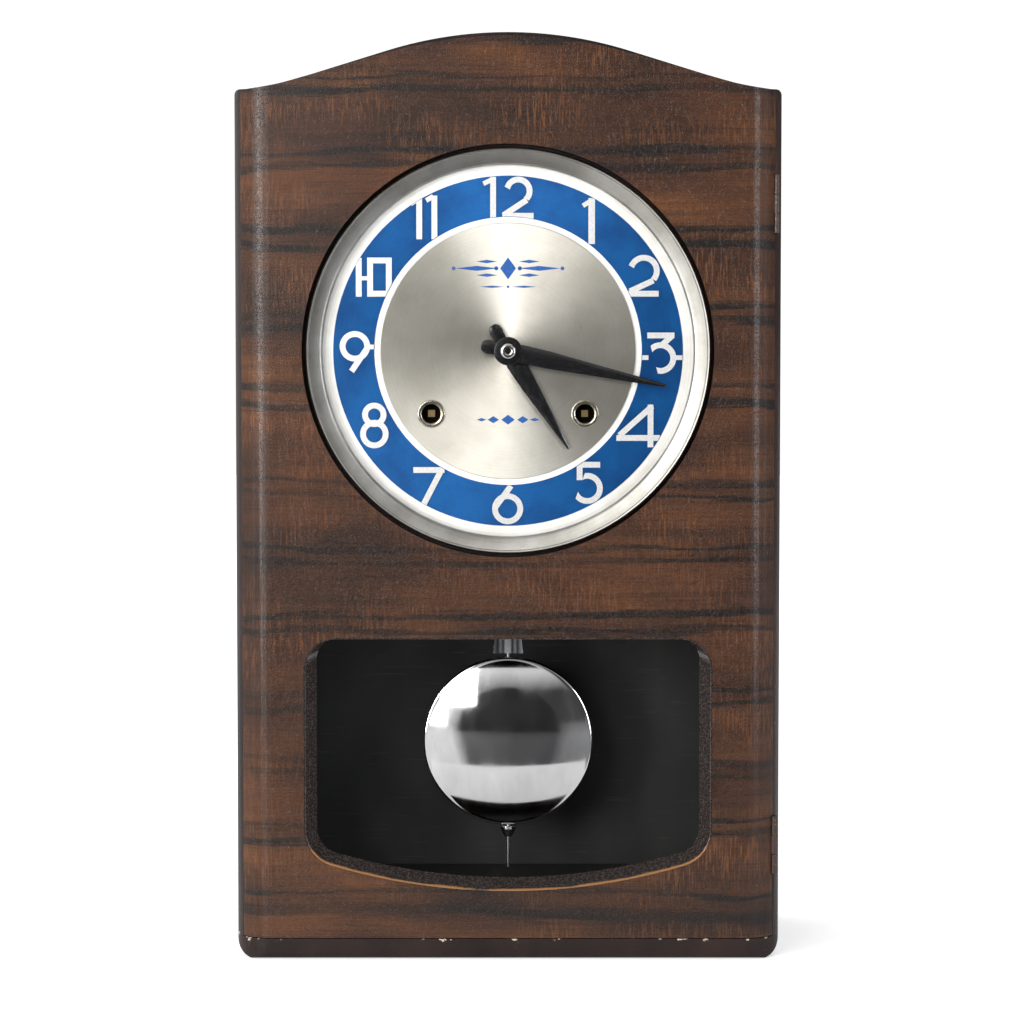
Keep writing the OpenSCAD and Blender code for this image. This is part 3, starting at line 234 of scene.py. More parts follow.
def softened(node, name, width, segments=2, sharp=30, plain=True):
    """A merged copy of a CAD node with its hard edges rounded by a bevel."""
    piece = bpy.data.objects.new(name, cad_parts[node].data.copy())
    bpy.context.scene.collection.objects.link(piece)
    start_clean()
    piece.select_set(True)
    bpy.context.view_layer.objects.active = piece
    bpy.ops.object.mode_set(mode="EDIT")
    bpy.ops.mesh.select_all(action="SELECT")
    bpy.ops.mesh.remove_doubles(threshold=merge_reach)
    if plain:
        bpy.ops.mesh.dissolve_limited(angle_limit=math.radians(0.3))
    bpy.ops.object.mode_set(mode="OBJECT")
    bevel = piece.modifiers.new("edge", "BEVEL")
    bevel.width = width
    bevel.segments = segments
    bevel.limit_method = "ANGLE"
    bevel.angle_limit = math.radians(sharp)
    bevel.harden_normals = True
    bpy.ops.object.shade_smooth_by_angle(angle=math.radians(sharp))
    bpy.ops.object.modifier_apply(modifier="edge")
    piece.data.materials.clear()
    return piece


def fit(piece, body, slot, material, *nodes):
    """Gives a finished piece its material and its body, and hides the CAD nodes it stands for; slot is
    not used.
    """
    piece.data.materials.clear()
    piece.data.materials.append(material)
    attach(piece, body)
    if nodes:
        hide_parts(*nodes)


# Lacquered rosewood veneer: brown ground, near-black growth lines in pairs about 38 mm apart, fine
# lines along the grain, short silky figure across it, and an orange-peel surface in the lacquer.
lacquered_veneer, tree, shader = finish(
    "lacquered_veneer",
    {"Roughness": 0.5, "Specular IOR Level": 0.12, "Coat Weight": 0.5, "Coat Roughness": 0.26},
)
spot = add(tree, "TexCoord").outputs["Object"]
slow = add(tree, "Mapping", {"Vector": spot, "Scale": (7, 7, 22)})
drift = add(tree, "TexNoise", {"Vector": slow, "Scale": 1.0, "Detail": 3.0, "Roughness": 0.5})
lift = add(
    tree, "MapRange",
    {"Value": drift.outputs[0], "From Min": 0.3, "From Max": 0.7, "To Min": -0.0045, "To Max": 0.0045},
)
fray_at = add(tree, "Mapping", {"Vector": spot, "Scale": (26, 26, 520)})
fray = add(tree, "TexNoise", {"Vector": fray_at, "Scale": 1.0, "Detail": 4.0, "Roughness": 0.6})
jitter = add(
    tree, "MapRange",
    {"Value": fray.outputs[0], "From Min": 0.25, "From Max": 0.75, "To Min": -0.0022, "To Max": 0.0022},
)
height = add(tree, "SeparateXYZ", {0: spot}).outputs["Z"]
waved = add(tree, "Math", {0: height, 1: lift.outputs[0]}, operation="ADD")
ragged = add(tree, "Math", {0: waved, 1: jitter.outputs[0]}, operation="ADD")
# Height of each pair of growth lines. The ramp turns a height into a count of bands between them.
streaks_z = [
    0.0313, 0.0693, 0.1037, 0.1407, 0.1788, 0.2163, 0.2517, 0.2993, 0.3397, 0.383, 0.4228, 0.4624,
]
bands = len(streaks_z) + 1
ramp_per_metre = 2.0
count = add(tree, "Math", {0: ragged, 1: ramp_per_metre}, operation="MULTIPLY")
ladder = stops(
    add(tree, "ValToRGB", {"Fac": count}),
    [(0, 0)] + [(ramp_per_metre * z, (i + 0.5) / bands) for i, z in enumerate(streaks_z)] + [(1, 1)],
)
turns = add(tree, "Math", {0: ladder, 1: float(bands)}, operation="MULTIPLY")
phase = add(tree, "Math", {0: turns}, operation="FRACT")
pair = stops(
    add(tree, "ValToRGB", {"Fac": phase}),
    [
        (0, 0.05), (0.22, 0.0), (0.33, 0.25), (0.37, 1.0), (0.42, 0.9), (0.46, 0.30), (0.54, 0.30),
        (0.57, 1.0), (0.62, 0.85), (0.66, 0.2), (0.74, 0.08), (0.85, 0.35), (0.89, 0.05), (1, 0.05),
    ],
)
fade_at = add(tree, "Mapping", {"Vector": spot, "Scale": (9, 9, 30), "Location": (3, 0, 5)})
fade = add(tree, "TexNoise", {"Vector": fade_at, "Scale": 1.0, "Detail": 2.0})
fading = add(
    tree, "MapRange",
    {"Value": fade.outputs[0], "From Min": 0.34, "From Max": 0.6, "To Min": 0.45, "To Max": 1.0},
)
dark = add(tree, "Math", {0: pair, 1: fading.outputs[0]}, operation="MULTIPLY", use_clamp=True)
tone_at = add(tree, "Mapping", {"Vector": spot, "Scale": (10, 10, 34), "Location": (1, 7, 2)})
tone = add(tree, "TexNoise", {"Vector": tone_at, "Scale": 1.0, "Detail": 4.0, "Roughness": 0.55})
ground = stops(
    add(tree, "ValToRGB", {"Fac": tone}),
    [(0.30, "#26140a"), (0.48, "#391f0f"), (0.60, "#472812"), (0.74, "#593417")],
)
lines_at = add(tree, "Mapping", {"Vector": spot, "Scale": (18, 18, 1500)})
lines = add(tree, "TexNoise", {"Vector": lines_at, "Scale": 1.0, "Detail": 3.0, "Roughness": 0.65})
line_tone = stops(add(tree, "ValToRGB", {"Fac": lines}), [(0.32, 0.62), (0.5, 1.0), (0.7, 1.22)])
grained = add(
    tree, "MixRGB", {"Fac": 0.85, "Color1": ground, "Color2": line_tone}, blend_type="MULTIPLY",
)
silk_at = add(
    tree, "Mapping", {"Vector": spot, "Scale": (1100, 300, 95), "Rotation": (0, math.radians(14), 0)},
)
silk = add(tree, "TexNoise", {"Vector": silk_at, "Scale": 1.0, "Detail": 2.0, "Roughness": 0.6})
silk_line = stops(add(tree, "ValToRGB", {"Fac": silk}), [(0.5, 0.0), (0.62, 1.0)])
patch_at = add(tree, "Mapping", {"Vector": spot, "Scale": (16, 16, 26), "Location": (8, 1, 4)})
patch = stops(
    add(
        tree, "ValToRGB",
        {"Fac": add(tree, "TexNoise", {"Vector": patch_at, "Scale": 1.0, "Detail": 2.0})},
    ),
    [(0.42, 0.0), (0.66, 0.38)],
)
silky = add(tree, "Math", {0: silk_line, 1: patch}, operation="MULTIPLY")
figured = add(tree, "MixRGB", {"Fac": silky, "Color1": grained, "Color2": linear("#7d4d26")})
pore_at = add(tree, "Mapping", {"Vector": spot, "Scale": (210, 210, 2600)})
pore = stops(
    add(
        tree, "ValToRGB",
        {"Fac": add(tree, "TexNoise", {"Vector": pore_at, "Scale": 1.0, "Detail": 1.0})},
    ),
    [(0.30, 0.6), (0.37, 0.0)],
)
pored = add(tree, "MixRGB", {"Fac": pore, "Color1": figured, "Color2": linear("#1d110c")})
streaked = add(tree, "MixRGB", {"Fac": dark, "Color1": pored, "Color2": linear("#120c09")})
tree.links.new(streaked.outputs[0], shader.inputs["Base Color"])
peel = add(
    tree, "TexNoise",
    {"Vector": spot, "Scale": 430.0, "Detail": 1.5, "Roughness": 0.5, "Distortion": 1.6},
)
worms = stops(
    add(tree, "ValToRGB", {"Fac": peel}),
    [(0.36, 0.5), (0.46, 0.55), (0.50, 1.0), (0.54, 0.55), (0.64, 0.5)], "EASE",
)
ripple = add(tree, "Bump", {"Height": worms, "Strength": 0.4, "Distance": 0.00030})
tree.links.new(ripple.outputs[0], shader.inputs["Normal"])
tree.links.new(ripple.outputs[0], shader.inputs["Coat Normal"])

door = softened("door_panel", "veneered_door", 0.0006)
fit(door, "door", "veneer", lacquered_veneer, "door_panel")

# ---------- Window lining ----------
# A bevelled frame round the pendulum window, black-lacquered plywood glued into the door. Its thin
# front edge is rubbed through to pale wood along the bottom.
# Black lacquer over plywood: brushed thick, so it is glossy, wavy and a little dusty.
black_lacquer, tree, shader = finish(
    "black_lacquer", {"Roughness": 0.2, "IOR": 1.5, "Coat Weight": 0.6, "Coat Roughness": 0.12},
)
spot = add(tree, "TexCoord").outputs["Object"]
where = add(tree, "SeparateXYZ", {0: spot})
rub = add(
    tree, "TexNoise",
    {
        "Vector": add(tree, "Mapping", {"Vector": spot, "Scale": (60, 60, 200)}), "Scale": 1.0,
        "Detail": 5.0,
    },
)
front_edge = add(
    tree, "MapRange",
    {
        "Value": where.outputs["Y"], "From Min": face_y + 0.0002, "From Max": face_y + 0.0022,
        "To Min": 1.0, "To Max": 0.0,
    },
)
low_part = add(
    tree, "MapRange",
    {"Value": where.outputs["Z"], "From Min": 0.05, "From Max": 0.075, "To Min": 1.0, "To Max": 0.25},
)
worn = add(tree, "Math", {0: front_edge.outputs[0], 1: low_part.outputs[0]}, operation="MULTIPLY")
rubbed = add(tree, "Math", {0: worn, 1: rub.outputs[0]}, operation="MULTIPLY")
bare = stops(add(tree, "ValToRGB", {"Fac": rubbed}), [(0.22, 0.0), (0.34, 1.0)])
dust = add(tree, "TexNoise", {"Vector": spot, "Scale": 900.0, "Detail": 3.0})
black = stops(add(tree, "ValToRGB", {"Fac": dust}), [(0.45, "#262120"), (0.75, "#4a423e")])
coat = add(tree, "MixRGB", {"Fac": bare, "Color1": black, "Color2": linear("#8a6039")})
tree.links.new(coat.outputs[0], shader.inputs["Base Color"])
wave = add(
    tree, "Bump",
    {
        "Height": add(tree, "TexNoise", {"Vector": spot, "Scale": 240.0, "Detail": 2.0}),
        "Strength": 0.35, "Distance": 0.0004,
    },
)
tree.links.new(wave.outputs[0], shader.inputs["Normal"])
lining = softened("window_lining", "lacquered_lining", 0.0002, plain=False)
fit(lining, "door", "black_lacquer", black_lacquer, "window_lining")

# ---------- Case boards and base ----------
# The sides, the bent top and the plinth are plain boards under a thick purple-brown paint, with pale
# chips where the edges have been knocked.
# Brush-applied oil paint: half-gloss, cloudy in tone and faintly rough.
brown_paint, tree, shader = finish(
    "purple_brown_paint",
    {"Roughness": 0.42, "Specular IOR Level": 0.22, "Coat Weight": 0.1, "Coat Roughness": 0.2},
)
spot = add(tree, "TexCoord").outputs["Object"]
cloud = add(
    tree, "TexNoise",
    {
        "Vector": add(tree, "Mapping", {"Vector": spot, "Scale": (25, 25, 12)}), "Scale": 1.0,
        "Detail": 5.0,
    },
)
paint = stops(
    add(tree, "ValToRGB", {"Fac": cloud}), [(0.35, "#1a110f"), (0.55, "#271a17"), (0.72, "#36241f")],
)
chips = add(
    tree, "TexNoise",
    {
        "Vector": add(tree, "Mapping", {"Vector": spot, "Scale": (150, 150, 260)}), "Scale": 1.0,
        "Detail": 6.0, "Roughness": 0.7,
    },
)
where = add(tree, "SeparateXYZ", {0: spot})
base_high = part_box("base_plinth")[1].z
seam = add(tree, "Math", {0: where.outputs["Z"], 1: base_high}, operation="SUBTRACT")
near_seam = add(
    tree, "MapRange",
    {
        "Value": add(tree, "Math", {0: seam}, operation="ABSOLUTE"), "From Min": 0.0004,
        "From Max": 0.0022, "To Min": 0.12, "To Max": 0.0,
    },
)
chance = add(tree, "Math", {0: chips, 1: near_seam.outputs[0]}, operation="ADD")
chipped = stops(add(tree, "ValToRGB", {"Fac": chance}), [(0.70, 0.0), (0.72, 1.0)])
boards = add(tree, "MixRGB", {"Fac": chipped, "Color1": paint, "Color2": linear("#b9aa99")})
tree.links.new(boards.outputs[0], shader.inputs["Base Color"])
brushed_on = add(
    tree, "Bump",
    {
        "Height": add(tree, "TexNoise", {"Vector": spot, "Scale": 420.0, "Detail": 3.0}),
        "Strength": 0.5, "Distance": 0.0004,
    },
)
tree.links.new(brushed_on.outputs[0], shader.inputs["Normal"])
for node, name, slot, edge in (
    ("base_plinth", "painted_plinth", "base_paint", 0.0008),
    ("left_side_board", "left_board", "side_paint", 0.0005),
    ("right_side_board", "right_board", "side_paint", 0.0003),
    ("top_board", "bent_top_board", "side_paint", 0.0006),
):
    fit(softened(node, name, edge), "case", slot, brown_paint, node)

# ---------- Inside of the case ----------
# The back board, the bottom board and the dial's board are stained matt black. The back is scuffed
# with fine pale scratches from years of dusting.
# Black stain on bare plywood: matt, mottled where the wood drank it unevenly.
black_stain, tree, shader = finish("matt_black_stain", {"Roughness": 0.55, "IOR": 1.5})
spot = add(tree, "TexCoord").outputs["Object"]
mottle = add(
    tree, "TexNoise",
    {
        "Vector": add(tree, "Mapping", {"Vector": spot, "Scale": (40, 40, 16)}), "Scale": 1.0,
        "Detail": 6.0,
    },
)
stain = stops(
    add(tree, "ValToRGB", {"Fac": mottle}), [(0.35, "#171717"), (0.6, "#222121"), (0.8, "#2e2b29")],
)
cut_at = add(
    tree, "Mapping", {"Vector": spot, "Scale": (35, 35, 1400), "Rotation": (0, math.radians(28), 0)},
)
cut = stops(
    add(
        tree, "ValToRGB",
        {
            "Fac": add(
                tree, "TexNoise", {"Vector": cut_at, "Scale": 1.0, "Detail": 4.0, "Distortion": 0.4},
            )
        },
    ),
    [(0.66, 0.0), (0.70, 0.35)],
)
scuffed = add(tree, "MixRGB", {"Fac": cut, "Color1": stain, "Color2": linear("#565352")})
tree.links.new(scuffed.outputs[0], shader.inputs["Base Color"])
rough_stain = add(tree, "Bump", {"Height": mottle, "Strength": 0.4, "Distance": 0.0006})
tree.links.new(rough_stain.outputs[0], shader.inputs["Normal"])


def dress(material, *nodes):
    """Gives CAD nodes a material in their own slots."""
    for name in nodes:
        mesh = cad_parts[name].data
        mesh.materials.clear()
        mesh.materials.append(material)


dress(black_stain, "bottom_board", "back_board", "dial_board")

# ---------- Dial plate and bezel ----------
# The dial is a thin silvered aluminium plate. The bezel round it is spun from sheet aluminium: a thin
# bright outer bead, a sloping flat with fine turning lines, and a small step down to the plate.
dial_low, dial_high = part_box("dial_plate")
dial_x = (dial_low.x + dial_high.x) / 2
dial_z = (dial_low.z + dial_high.z) / 2
plate_front = dial_low.y
bezel_low, bezel_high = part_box("dial_bezel")
bezel_r = (bezel_high.x - bezel_low.x) / 2


def spun(name, centre, profile, sides=192, smooth=35):
    """A turned piece about an axis along Y: a circle extruded and resized along (radius, y) points."""
    start_clean()
    radius, depth = profile[0]
    bpy.ops.mesh.primitive_circle_add(
        vertices=sides, radius=radius, location=(centre[0], depth, centre[1]),
        rotation=(math.pi / 2, 0, 0),
    )
    piece = bpy.context.object
    piece.name = name
    settle(piece)
    bpy.ops.object.mode_set(mode="EDIT")
    bpy.ops.mesh.select_all(action="SELECT")
    for r, y in profile[1:]:
        bpy.ops.mesh.extrude_edges_move(TRANSFORM_OT_translate={"value": (0, y - depth, 0)})
        bpy.ops.transform.resize(
            value=(r / radius, 1, r / radius), center_override=(centre[0], y, centre[1]),
        )
        radius, depth = r, y
    bpy.ops.mesh.select_all(action="SELECT")
    bpy.ops.mesh.remove_doubles(threshold=merge_reach)
    bpy.ops.mesh.normals_make_consistent(inside=False)
    bpy.ops.object.mode_set(mode="OBJECT")
    bpy.ops.object.shade_smooth_by_angle(angle=math.radians(smooth))
    return piece


def round_about(tree, centre):
    """The distance from an axis along Y and the direction round it, for turned metal."""
    spot = add(tree, "TexCoord").outputs["Object"]
    out = add(tree, "VectorMath", {0: spot, 1: (centre[0], 0, centre[1])}, operation="SUBTRACT")
    flat = add(tree, "VectorMath", {0: out, 1: (1, 0, 1)}, operation="MULTIPLY")
    far = add(tree, "VectorMath", {0: flat}, operation="LENGTH").outputs["Value"]
    round_way = add(tree, "VectorMath", {0: (0, 1, 0), 1: flat}, operation="CROSS_PRODUCT")
    return spot, far, add(tree, "VectorMath", {0: round_way}, operation="NORMALIZE")


def turned_metal(name, settings, colours, centre, spacing):
    """Lathe-turned metal: rings a set spacing apart, gloss drawn out across them, faint stains."""
    made, tree, shader = finish(name, {"Metallic": 1.0, **settings})
    spot, far, way = round_about(tree, centre)
    rings_at = add(tree, "CombineXYZ", {0: far})
    rings = add(
        tree, "TexNoise", {"Vector": rings_at, "Scale": 1 / spacing, "Detail": 4.0, "Roughness": 0.7},
    )
    stain = add(tree, "TexNoise", {"Vector": spot, "Scale": 45.0, "Detail": 5.0, "Roughness": 0.6})
    tone = stops(add(tree, "ValToRGB", {"Fac": stain}), [(0.35, colours[0]), (0.6, colours[1])])
    ring_tone = stops(add(tree, "ValToRGB", {"Fac": rings}), [(0.3, 0.86), (0.7, 1.08)])
    mixed = add(
        tree, "MixRGB", {"Fac": 1.0, "Color1": tone, "Color2": ring_tone}, blend_type="MULTIPLY",
    )
    tree.links.new(mixed.outputs[0], shader.inputs["Base Color"])
    bump = add(tree, "Bump", {"Height": rings, "Strength": 0.25, "Distance": 0.00012})
    tree.links.new(bump.outputs[0], shader.inputs["Normal"])
    tree.links.new(way.outputs[0], shader.inputs["Tangent"])
    return made


# Silvered plate, matt and slightly warm; spun aluminium, greyer, with turning lines about 0.7 mm apart.
silvered_plate = turned_metal(
    "silvered_plate", {"Roughness": 0.5, "Anisotropic": 0.2, "Metallic": 0.3}, ("#dedcd5", "#ebeae5"),
    (dial_x, dial_z), 0.0009,
)
spun_aluminium = turned_metal(
    "spun_aluminium_bezel", {"Roughness": 0.34, "Anisotropic": 0.55}, ("#9c9a93", "#b2b0aa"),
    (dial_x, dial_z), 0.0007,
)
plate = softened("dial_plate", "silvered_dial", 0.0002)
fit(plate, "case", "dial_silver", silvered_plate, "dial_plate")
bezel_front = bezel_low.y
inner_r = 0.098  # the bezel's sight edge
bezel = spun(
    "spun_bezel", (dial_x, dial_z),
    [
        (bezel_r - 0.001, bezel_high.y), (bezel_r, bezel_high.y), (bezel_r, bezel_front + 0.0011),
        (bezel_r - 0.0003, bezel_front + 0.0004), (bezel_r - 0.0009, bezel_front),
        (bezel_r - 0.0016, bezel_front + 0.0002), (bezel_r - 0.0020, bezel_front + 0.0007),
        (inner_r + 0.0012, bezel_front + 0.0019), (inner_r + 0.0005, bezel_front + 0.0022),
        (inner_r, bezel_front + 0.0030), (inner_r, plate_front - 0.0002),
        (inner_r + 0.001, plate_front - 0.0002), (inner_r + 0.001, bezel_front + 0.0034),
        (bezel_r - 0.0018, bezel_front + 0.0012), (bezel_r - 0.001, bezel_front + 0.0018),
        (bezel_r - 0.001, bezel_high.y),
    ],
)
fit(bezel, "case", "bezel_aluminium", spun_aluminium, "dial_bezel")

# ---------- Chapter ring, numerals and centre disc ----------
# The ring is aluminium under a see-through blue lacquer, so its turning still flashes at the sides. The
# numerals are raised, silver on top, with painted shade on their edges. The disc inside is a separate
# spun plate.
blue_lacquer = turned_metal(
    "blue_lacquered_aluminium",
    {
        "Roughness": 0.36, "Anisotropic": 0.6, "Metallic": 0.65, "Coat Weight": 0.3,
        "Coat Roughness": 0.2,
    },
    ("#0b4a88", "#105c9f"), (dial_x, dial_z), 0.0008,
)
disc_metal = turned_metal(
    "spun_dial_centre", {"Roughness": 0.40, "Anisotropic": 0.85}, ("#c6c2b6", "#d3cfc4"),
    (dial_x, dial_z), 0.0006,
)
dress(blue_lacquer, "chapter_ring")
# Silver paint on the numerals' tops; their side faces get painted shade, a dark navy standing in for the
# shadow round each raised stroke.
numeral_silver, tree, shader = finish("silver_numeral_paint", {"Roughness": 0.32, "Metallic": 0.55})
spot = add(tree, "TexCoord").outputs["Object"]
sides = add(tree, "SeparateXYZ", {0: add(tree, "NewGeometry").outputs["Normal"]})
top_face = add(
    tree, "MapRange",
    {"Value": sides.outputs["Y"], "From Min": -0.55, "From Max": -0.9, "To Min": 0.0, "To Max": 1.0},
)
speck = add(tree, "TexNoise", {"Vector": spot, "Scale": 1500.0, "Detail": 3.0})
silver = stops(add(tree, "ValToRGB", {"Fac": speck}), [(0.3, "#dcdddb"), (0.7, "#f2f2f0")])
silver_with_painted_shade = add(tree, "MixRGB", {"Fac": top_face.outputs[0], "Color1": linear("#10233f"), "Color2": silver})
tree.links.new(silver_with_painted_shade.outputs[0], shader.inputs["Base Color"])
numerals = softened("numerals", "raised_numerals", 0.0001, segments=1)
fit(numerals, "case", "numeral_silver", numeral_silver, "numerals")
centre = softened("dial_centre", "spun_centre_disc", 0.0003)
fit(centre, "case", "spun_aluminium", disc_metal, "dial_centre")
disc_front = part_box("dial_centre")[0].y

# ---------- Dial ornament ----------
# Two plain printed ornaments in the same blue: a lozenge with tapered bars and dots above the hands,
# and a small row of lozenges below them. They are ink on the disc, a few hundredths thick.
# Printing ink: an even, slightly glossy film with a fine grain.
blue_ink, tree, shader = finish("blue_printing_ink", {"Roughness": 0.35})
ink_grain = add(
    tree, "TexNoise",
    {"Vector": add(tree, "TexCoord").outputs["Object"], "Scale": 1800.0, "Detail": 2.0},
)
ink = stops(add(tree, "ValToRGB", {"Fac": ink_grain}), [(0.3, "#123f7c"), (0.7, "#1c5aa0")])
tree.links.new(ink.outputs[0], shader.inputs["Base Color"])
ink_t = 0.00008  # thickness of the print


def printed(corners, x, z, half_w, half_h):
    """One flat printed shape, centred at x and z from the dial's centre."""
    start_clean()
    bpy.ops.mesh.primitive_circle_add(
        vertices=corners, radius=1, fill_type="NGON",
        location=(dial_x + x, disc_front - ink_t, dial_z + z), rotation=(math.pi / 2, 0, 0),
    )
    made = bpy.context.object
    made.scale = (half_w, half_h, 1)
    settle(made)
    bpy.ops.object.mode_set(mode="EDIT")
    bpy.ops.mesh.select_all(action="SELECT")
    bpy.ops.mesh.extrude_region_move(TRANSFORM_OT_translate={"value": (0, ink_t, 0)})
    bpy.ops.mesh.select_all(action="SELECT")
    bpy.ops.mesh.normals_make_consistent(inside=False)
    bpy.ops.object.mode_set(mode="OBJECT")
    return made


def joined(name, *pieces):
    """Several meshes made one piece."""
    start_clean()
    for piece in pieces:
        piece.select_set(True)
    bpy.context.view_layer.objects.active = pieces[0]
    bpy.ops.object.join()
    pieces[0].name = name
    return pieces[0]


lozenge, dot = 4, 32  # corners
upper, thin_row, lower = 0.0437, 0.0340, -0.0362  # heights of the rows from the dial's centre
inked = [printed(lozenge, 0, upper, 0.0042, 0.0058), printed(dot, 0, thin_row, 0.0007, 0.0007)]
for way in (-1, 1):
    for shape, x, z, half_w, half_h in (
        (lozenge, 0.0165, upper, 0.0112, 0.0013),
        (lozenge, 0.0112, upper + 0.0036, 0.0056, 0.0009),
        (lozenge, 0.0112, upper - 0.0036, 0.0056, 0.0009),
        (dot, 0.0062, upper, 0.0011, 0.0011),
        (dot, 0.0287, upper, 0.0010, 0.0010),
        (lozenge, 0.0085, thin_row, 0.0068, 0.0006),
        (lozenge, 0.0078, lower, 0.0030, 0.0019),
        (lozenge, 0.0140, lower, 0.0026, 0.0009),
    ):
        inked.append(printed(shape, way * x, z, half_w, half_h))
inked.append(printed(lozenge, 0, lower, 0.0036, 0.0026))
fit(joined("printed_ornament", *inked), "case", "blue_enamel", blue_ink)

# ---------- Winding grommets ----------
# Two turned brass eyelets line the winding holes. Each has a flat polished lip and a dark bore, with the
# steel winding square standing deep inside.
# Nickelled brass: bright, with a yellowish tarnish in patches.
grommet_metal, tree, shader = finish("nickelled_brass", {"Metallic": 1.0, "Roughness": 0.24})
spot = add(tree, "TexCoord").outputs["Object"]
tarnish = add(tree, "TexNoise", {"Vector": spot, "Scale": 420.0, "Detail": 4.0})
tone = stops(add(tree, "ValToRGB", {"Fac": tarnish}), [(0.35, "#9c9484"), (0.65, "#cdc8bb")])
tree.links.new(tone.outputs[0], shader.inputs["Base Color"])
grommet_low, grommet_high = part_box("winding_grommets")
bore_r, barrel_r, lip_r = 0.0050, 0.0062, 0.0074
for name, node in (("left_grommet", "strike_winding_arbor"), ("right_grommet", "time_winding_arbor")):
    low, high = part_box(node)
    x, z = (low.x + high.x) / 2, (low.z + high.z) / 2
    y0, y1 = grommet_low.y, grommet_high.y
    eyelet = spun(
        name, (x, z),
        [
            (bore_r, y1), (barrel_r, y1), (barrel_r, disc_front), (lip_r, disc_front),
            (lip_r, y0 + 0.0004), (lip_r - 0.0003, y0 + 0.0001), (lip_r - 0.0006, y0),
            (bore_r + 0.0008, y0), (bore_r + 0.0003, y0 + 0.0002), (bore_r, y0 + 0.0007), (bore_r, y1),
        ],
        sides=72,
    )
    fit(
        eyelet, "case", "grommet_brass", grommet_metal,
        *(["winding_grommets"] if name == "left_grommet" else []),
    )

# ---------- Hands ----------
# Both hands are pressed from thin steel with a ridge down the middle and enamelled gloss black. Each is
# riveted to a round boss, and a domed nickel nut holds the minute hand on its arbor.
# Stoved black enamel: glassy, with dust grains caught in it.
black_enamel, tree, shader = finish(
    "gloss_black_enamel", {"Roughness": 0.22, "IOR": 1.5, "Coat Weight": 0.4, "Coat Roughness": 0.08},
)
spot = add(tree, "TexCoord").outputs["Object"]
dusty = add(tree, "TexNoise", {"Vector": spot, "Scale": 700.0, "Detail": 4.0})
tone = stops(add(tree, "ValToRGB", {"Fac": dusty}), [(0.5, "#0c0c0d"), (0.8, "#26262a")])
tree.links.new(tone.outputs[0], shader.inputs["Base Color"])
hour_angle, minute_angle = 148.1, 102.4  # degrees past twelve, as the clock was left
minute_low, minute_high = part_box("minute_hand")
hour_low, hour_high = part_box("hour_hand")


def hand(name, y, angle, stations):
    """A ridged blade through stations of (distance, half width, half thickness), then turned."""
    start_clean()
    z, wide, thick = stations[0]
    bpy.ops.mesh.primitive_circle_add(vertices=4, radius=1, fill_type="NGON", location=(0, 0, z))
    piece = bpy.context.object
    piece.name = name
    piece.scale = (wide, thick, 1)
    settle(piece)
    bpy.ops.object.mode_set(mode="EDIT")
    bpy.ops.mesh.select_all(action="SELECT")
    for far, half, deep in stations[1:]:
        bpy.ops.mesh.extrude_region_move(TRANSFORM_OT_translate={"value": (0, 0, far - z)})
        bpy.ops.transform.resize(value=(half / wide, deep / thick, 1), center_override=(0, 0, far))
        z, wide, thick = far, half, deep
    bpy.ops.mesh.select_all(action="SELECT")
    bpy.ops.mesh.normals_make_consistent(inside=False)
    bpy.ops.object.mode_set(mode="OBJECT")
    piece.rotation_euler = (0, math.radians(angle), 0)
    piece.location = (dial_x, y, dial_z)
    bevel = piece.modifiers.new("edge", "BEVEL")
    bevel.width = 0.00012
    bevel.segments = 2
    settle(piece)
    bpy.ops.object.modifier_apply(modifier="edge")
    bpy.ops.object.shade_smooth_by_angle(angle=math.radians(20))
    return piece


hour_y = (hour_low.y + hour_high.y) / 2
hour_blade = hand(
    "hour_blade", hour_y, hour_angle,
    [
        (-0.0160, 0.0012, 0.0002), (-0.0156, 0.0022, 0.0004), (-0.0145, 0.0031, 0.0004),
        (-0.0124, 0.0036, 0.0004), (-0.006, 0.0031, 0.0004), (0.000, 0.0028, 0.0004),
        (0.007, 0.0050, 0.0004), (0.015, 0.0048, 0.0004), (0.0315, 0.0035, 0.0004),
        (0.046, 0.00215, 0.0004), (0.0595, 0.0009, 0.0003), (0.0608, 0.0006, 0.0002),
    ],
)
hour_boss = spun(
    "hour_boss", (dial_x, dial_z),
    [
        (0.0034, hour_high.y), (0.0064, hour_high.y), (0.0064, hour_low.y + 0.0002),
        (0.0062, hour_low.y), (0.0034, hour_low.y), (0.0034, hour_high.y),
    ],
    sides=96,
)
hour_hand = joined("enamelled_hour_hand", hour_blade, hour_boss)
fit(hour_hand, "hour", "hand_black", black_enamel, "hour_hand")
minute_y = minute_high.y - 0.0004
minute_blade = hand(
    "minute_blade", minute_y, minute_angle,
    [
        (-0.0145, 0.0012, 0.0002), (-0.0141, 0.0023, 0.0004), (-0.0130, 0.0032, 0.0004),
        (-0.0107, 0.0038, 0.0004), (-0.005, 0.0032, 0.0004), (0.000, 0.0028, 0.0004),
        (0.007, 0.0050, 0.0004), (0.023, 0.0046, 0.0004), (0.050, 0.0030, 0.0004),
        (0.068, 0.0020, 0.0004), (0.084, 0.0010, 0.0003), (0.0855, 0.0007, 0.0002),
    ],
)
minute_boss = spun(
    "minute_boss", (dial_x, dial_z),
    [
        (0.0018, minute_high.y), (0.0073, minute_high.y), (0.0075, minute_high.y - 0.0003),
        (0.0075, minute_low.y + 0.0004), (0.0072, minute_low.y + 0.0001), (0.0064, minute_low.y),
        (0.0018, minute_low.y), (0.0018, minute_high.y),
    ],
    sides=96,
)
minute_hand = joined("enamelled_minute_hand", minute_blade, minute_boss)
fit(minute_hand, "minute", "hand_black", black_enamel, "minute_hand")
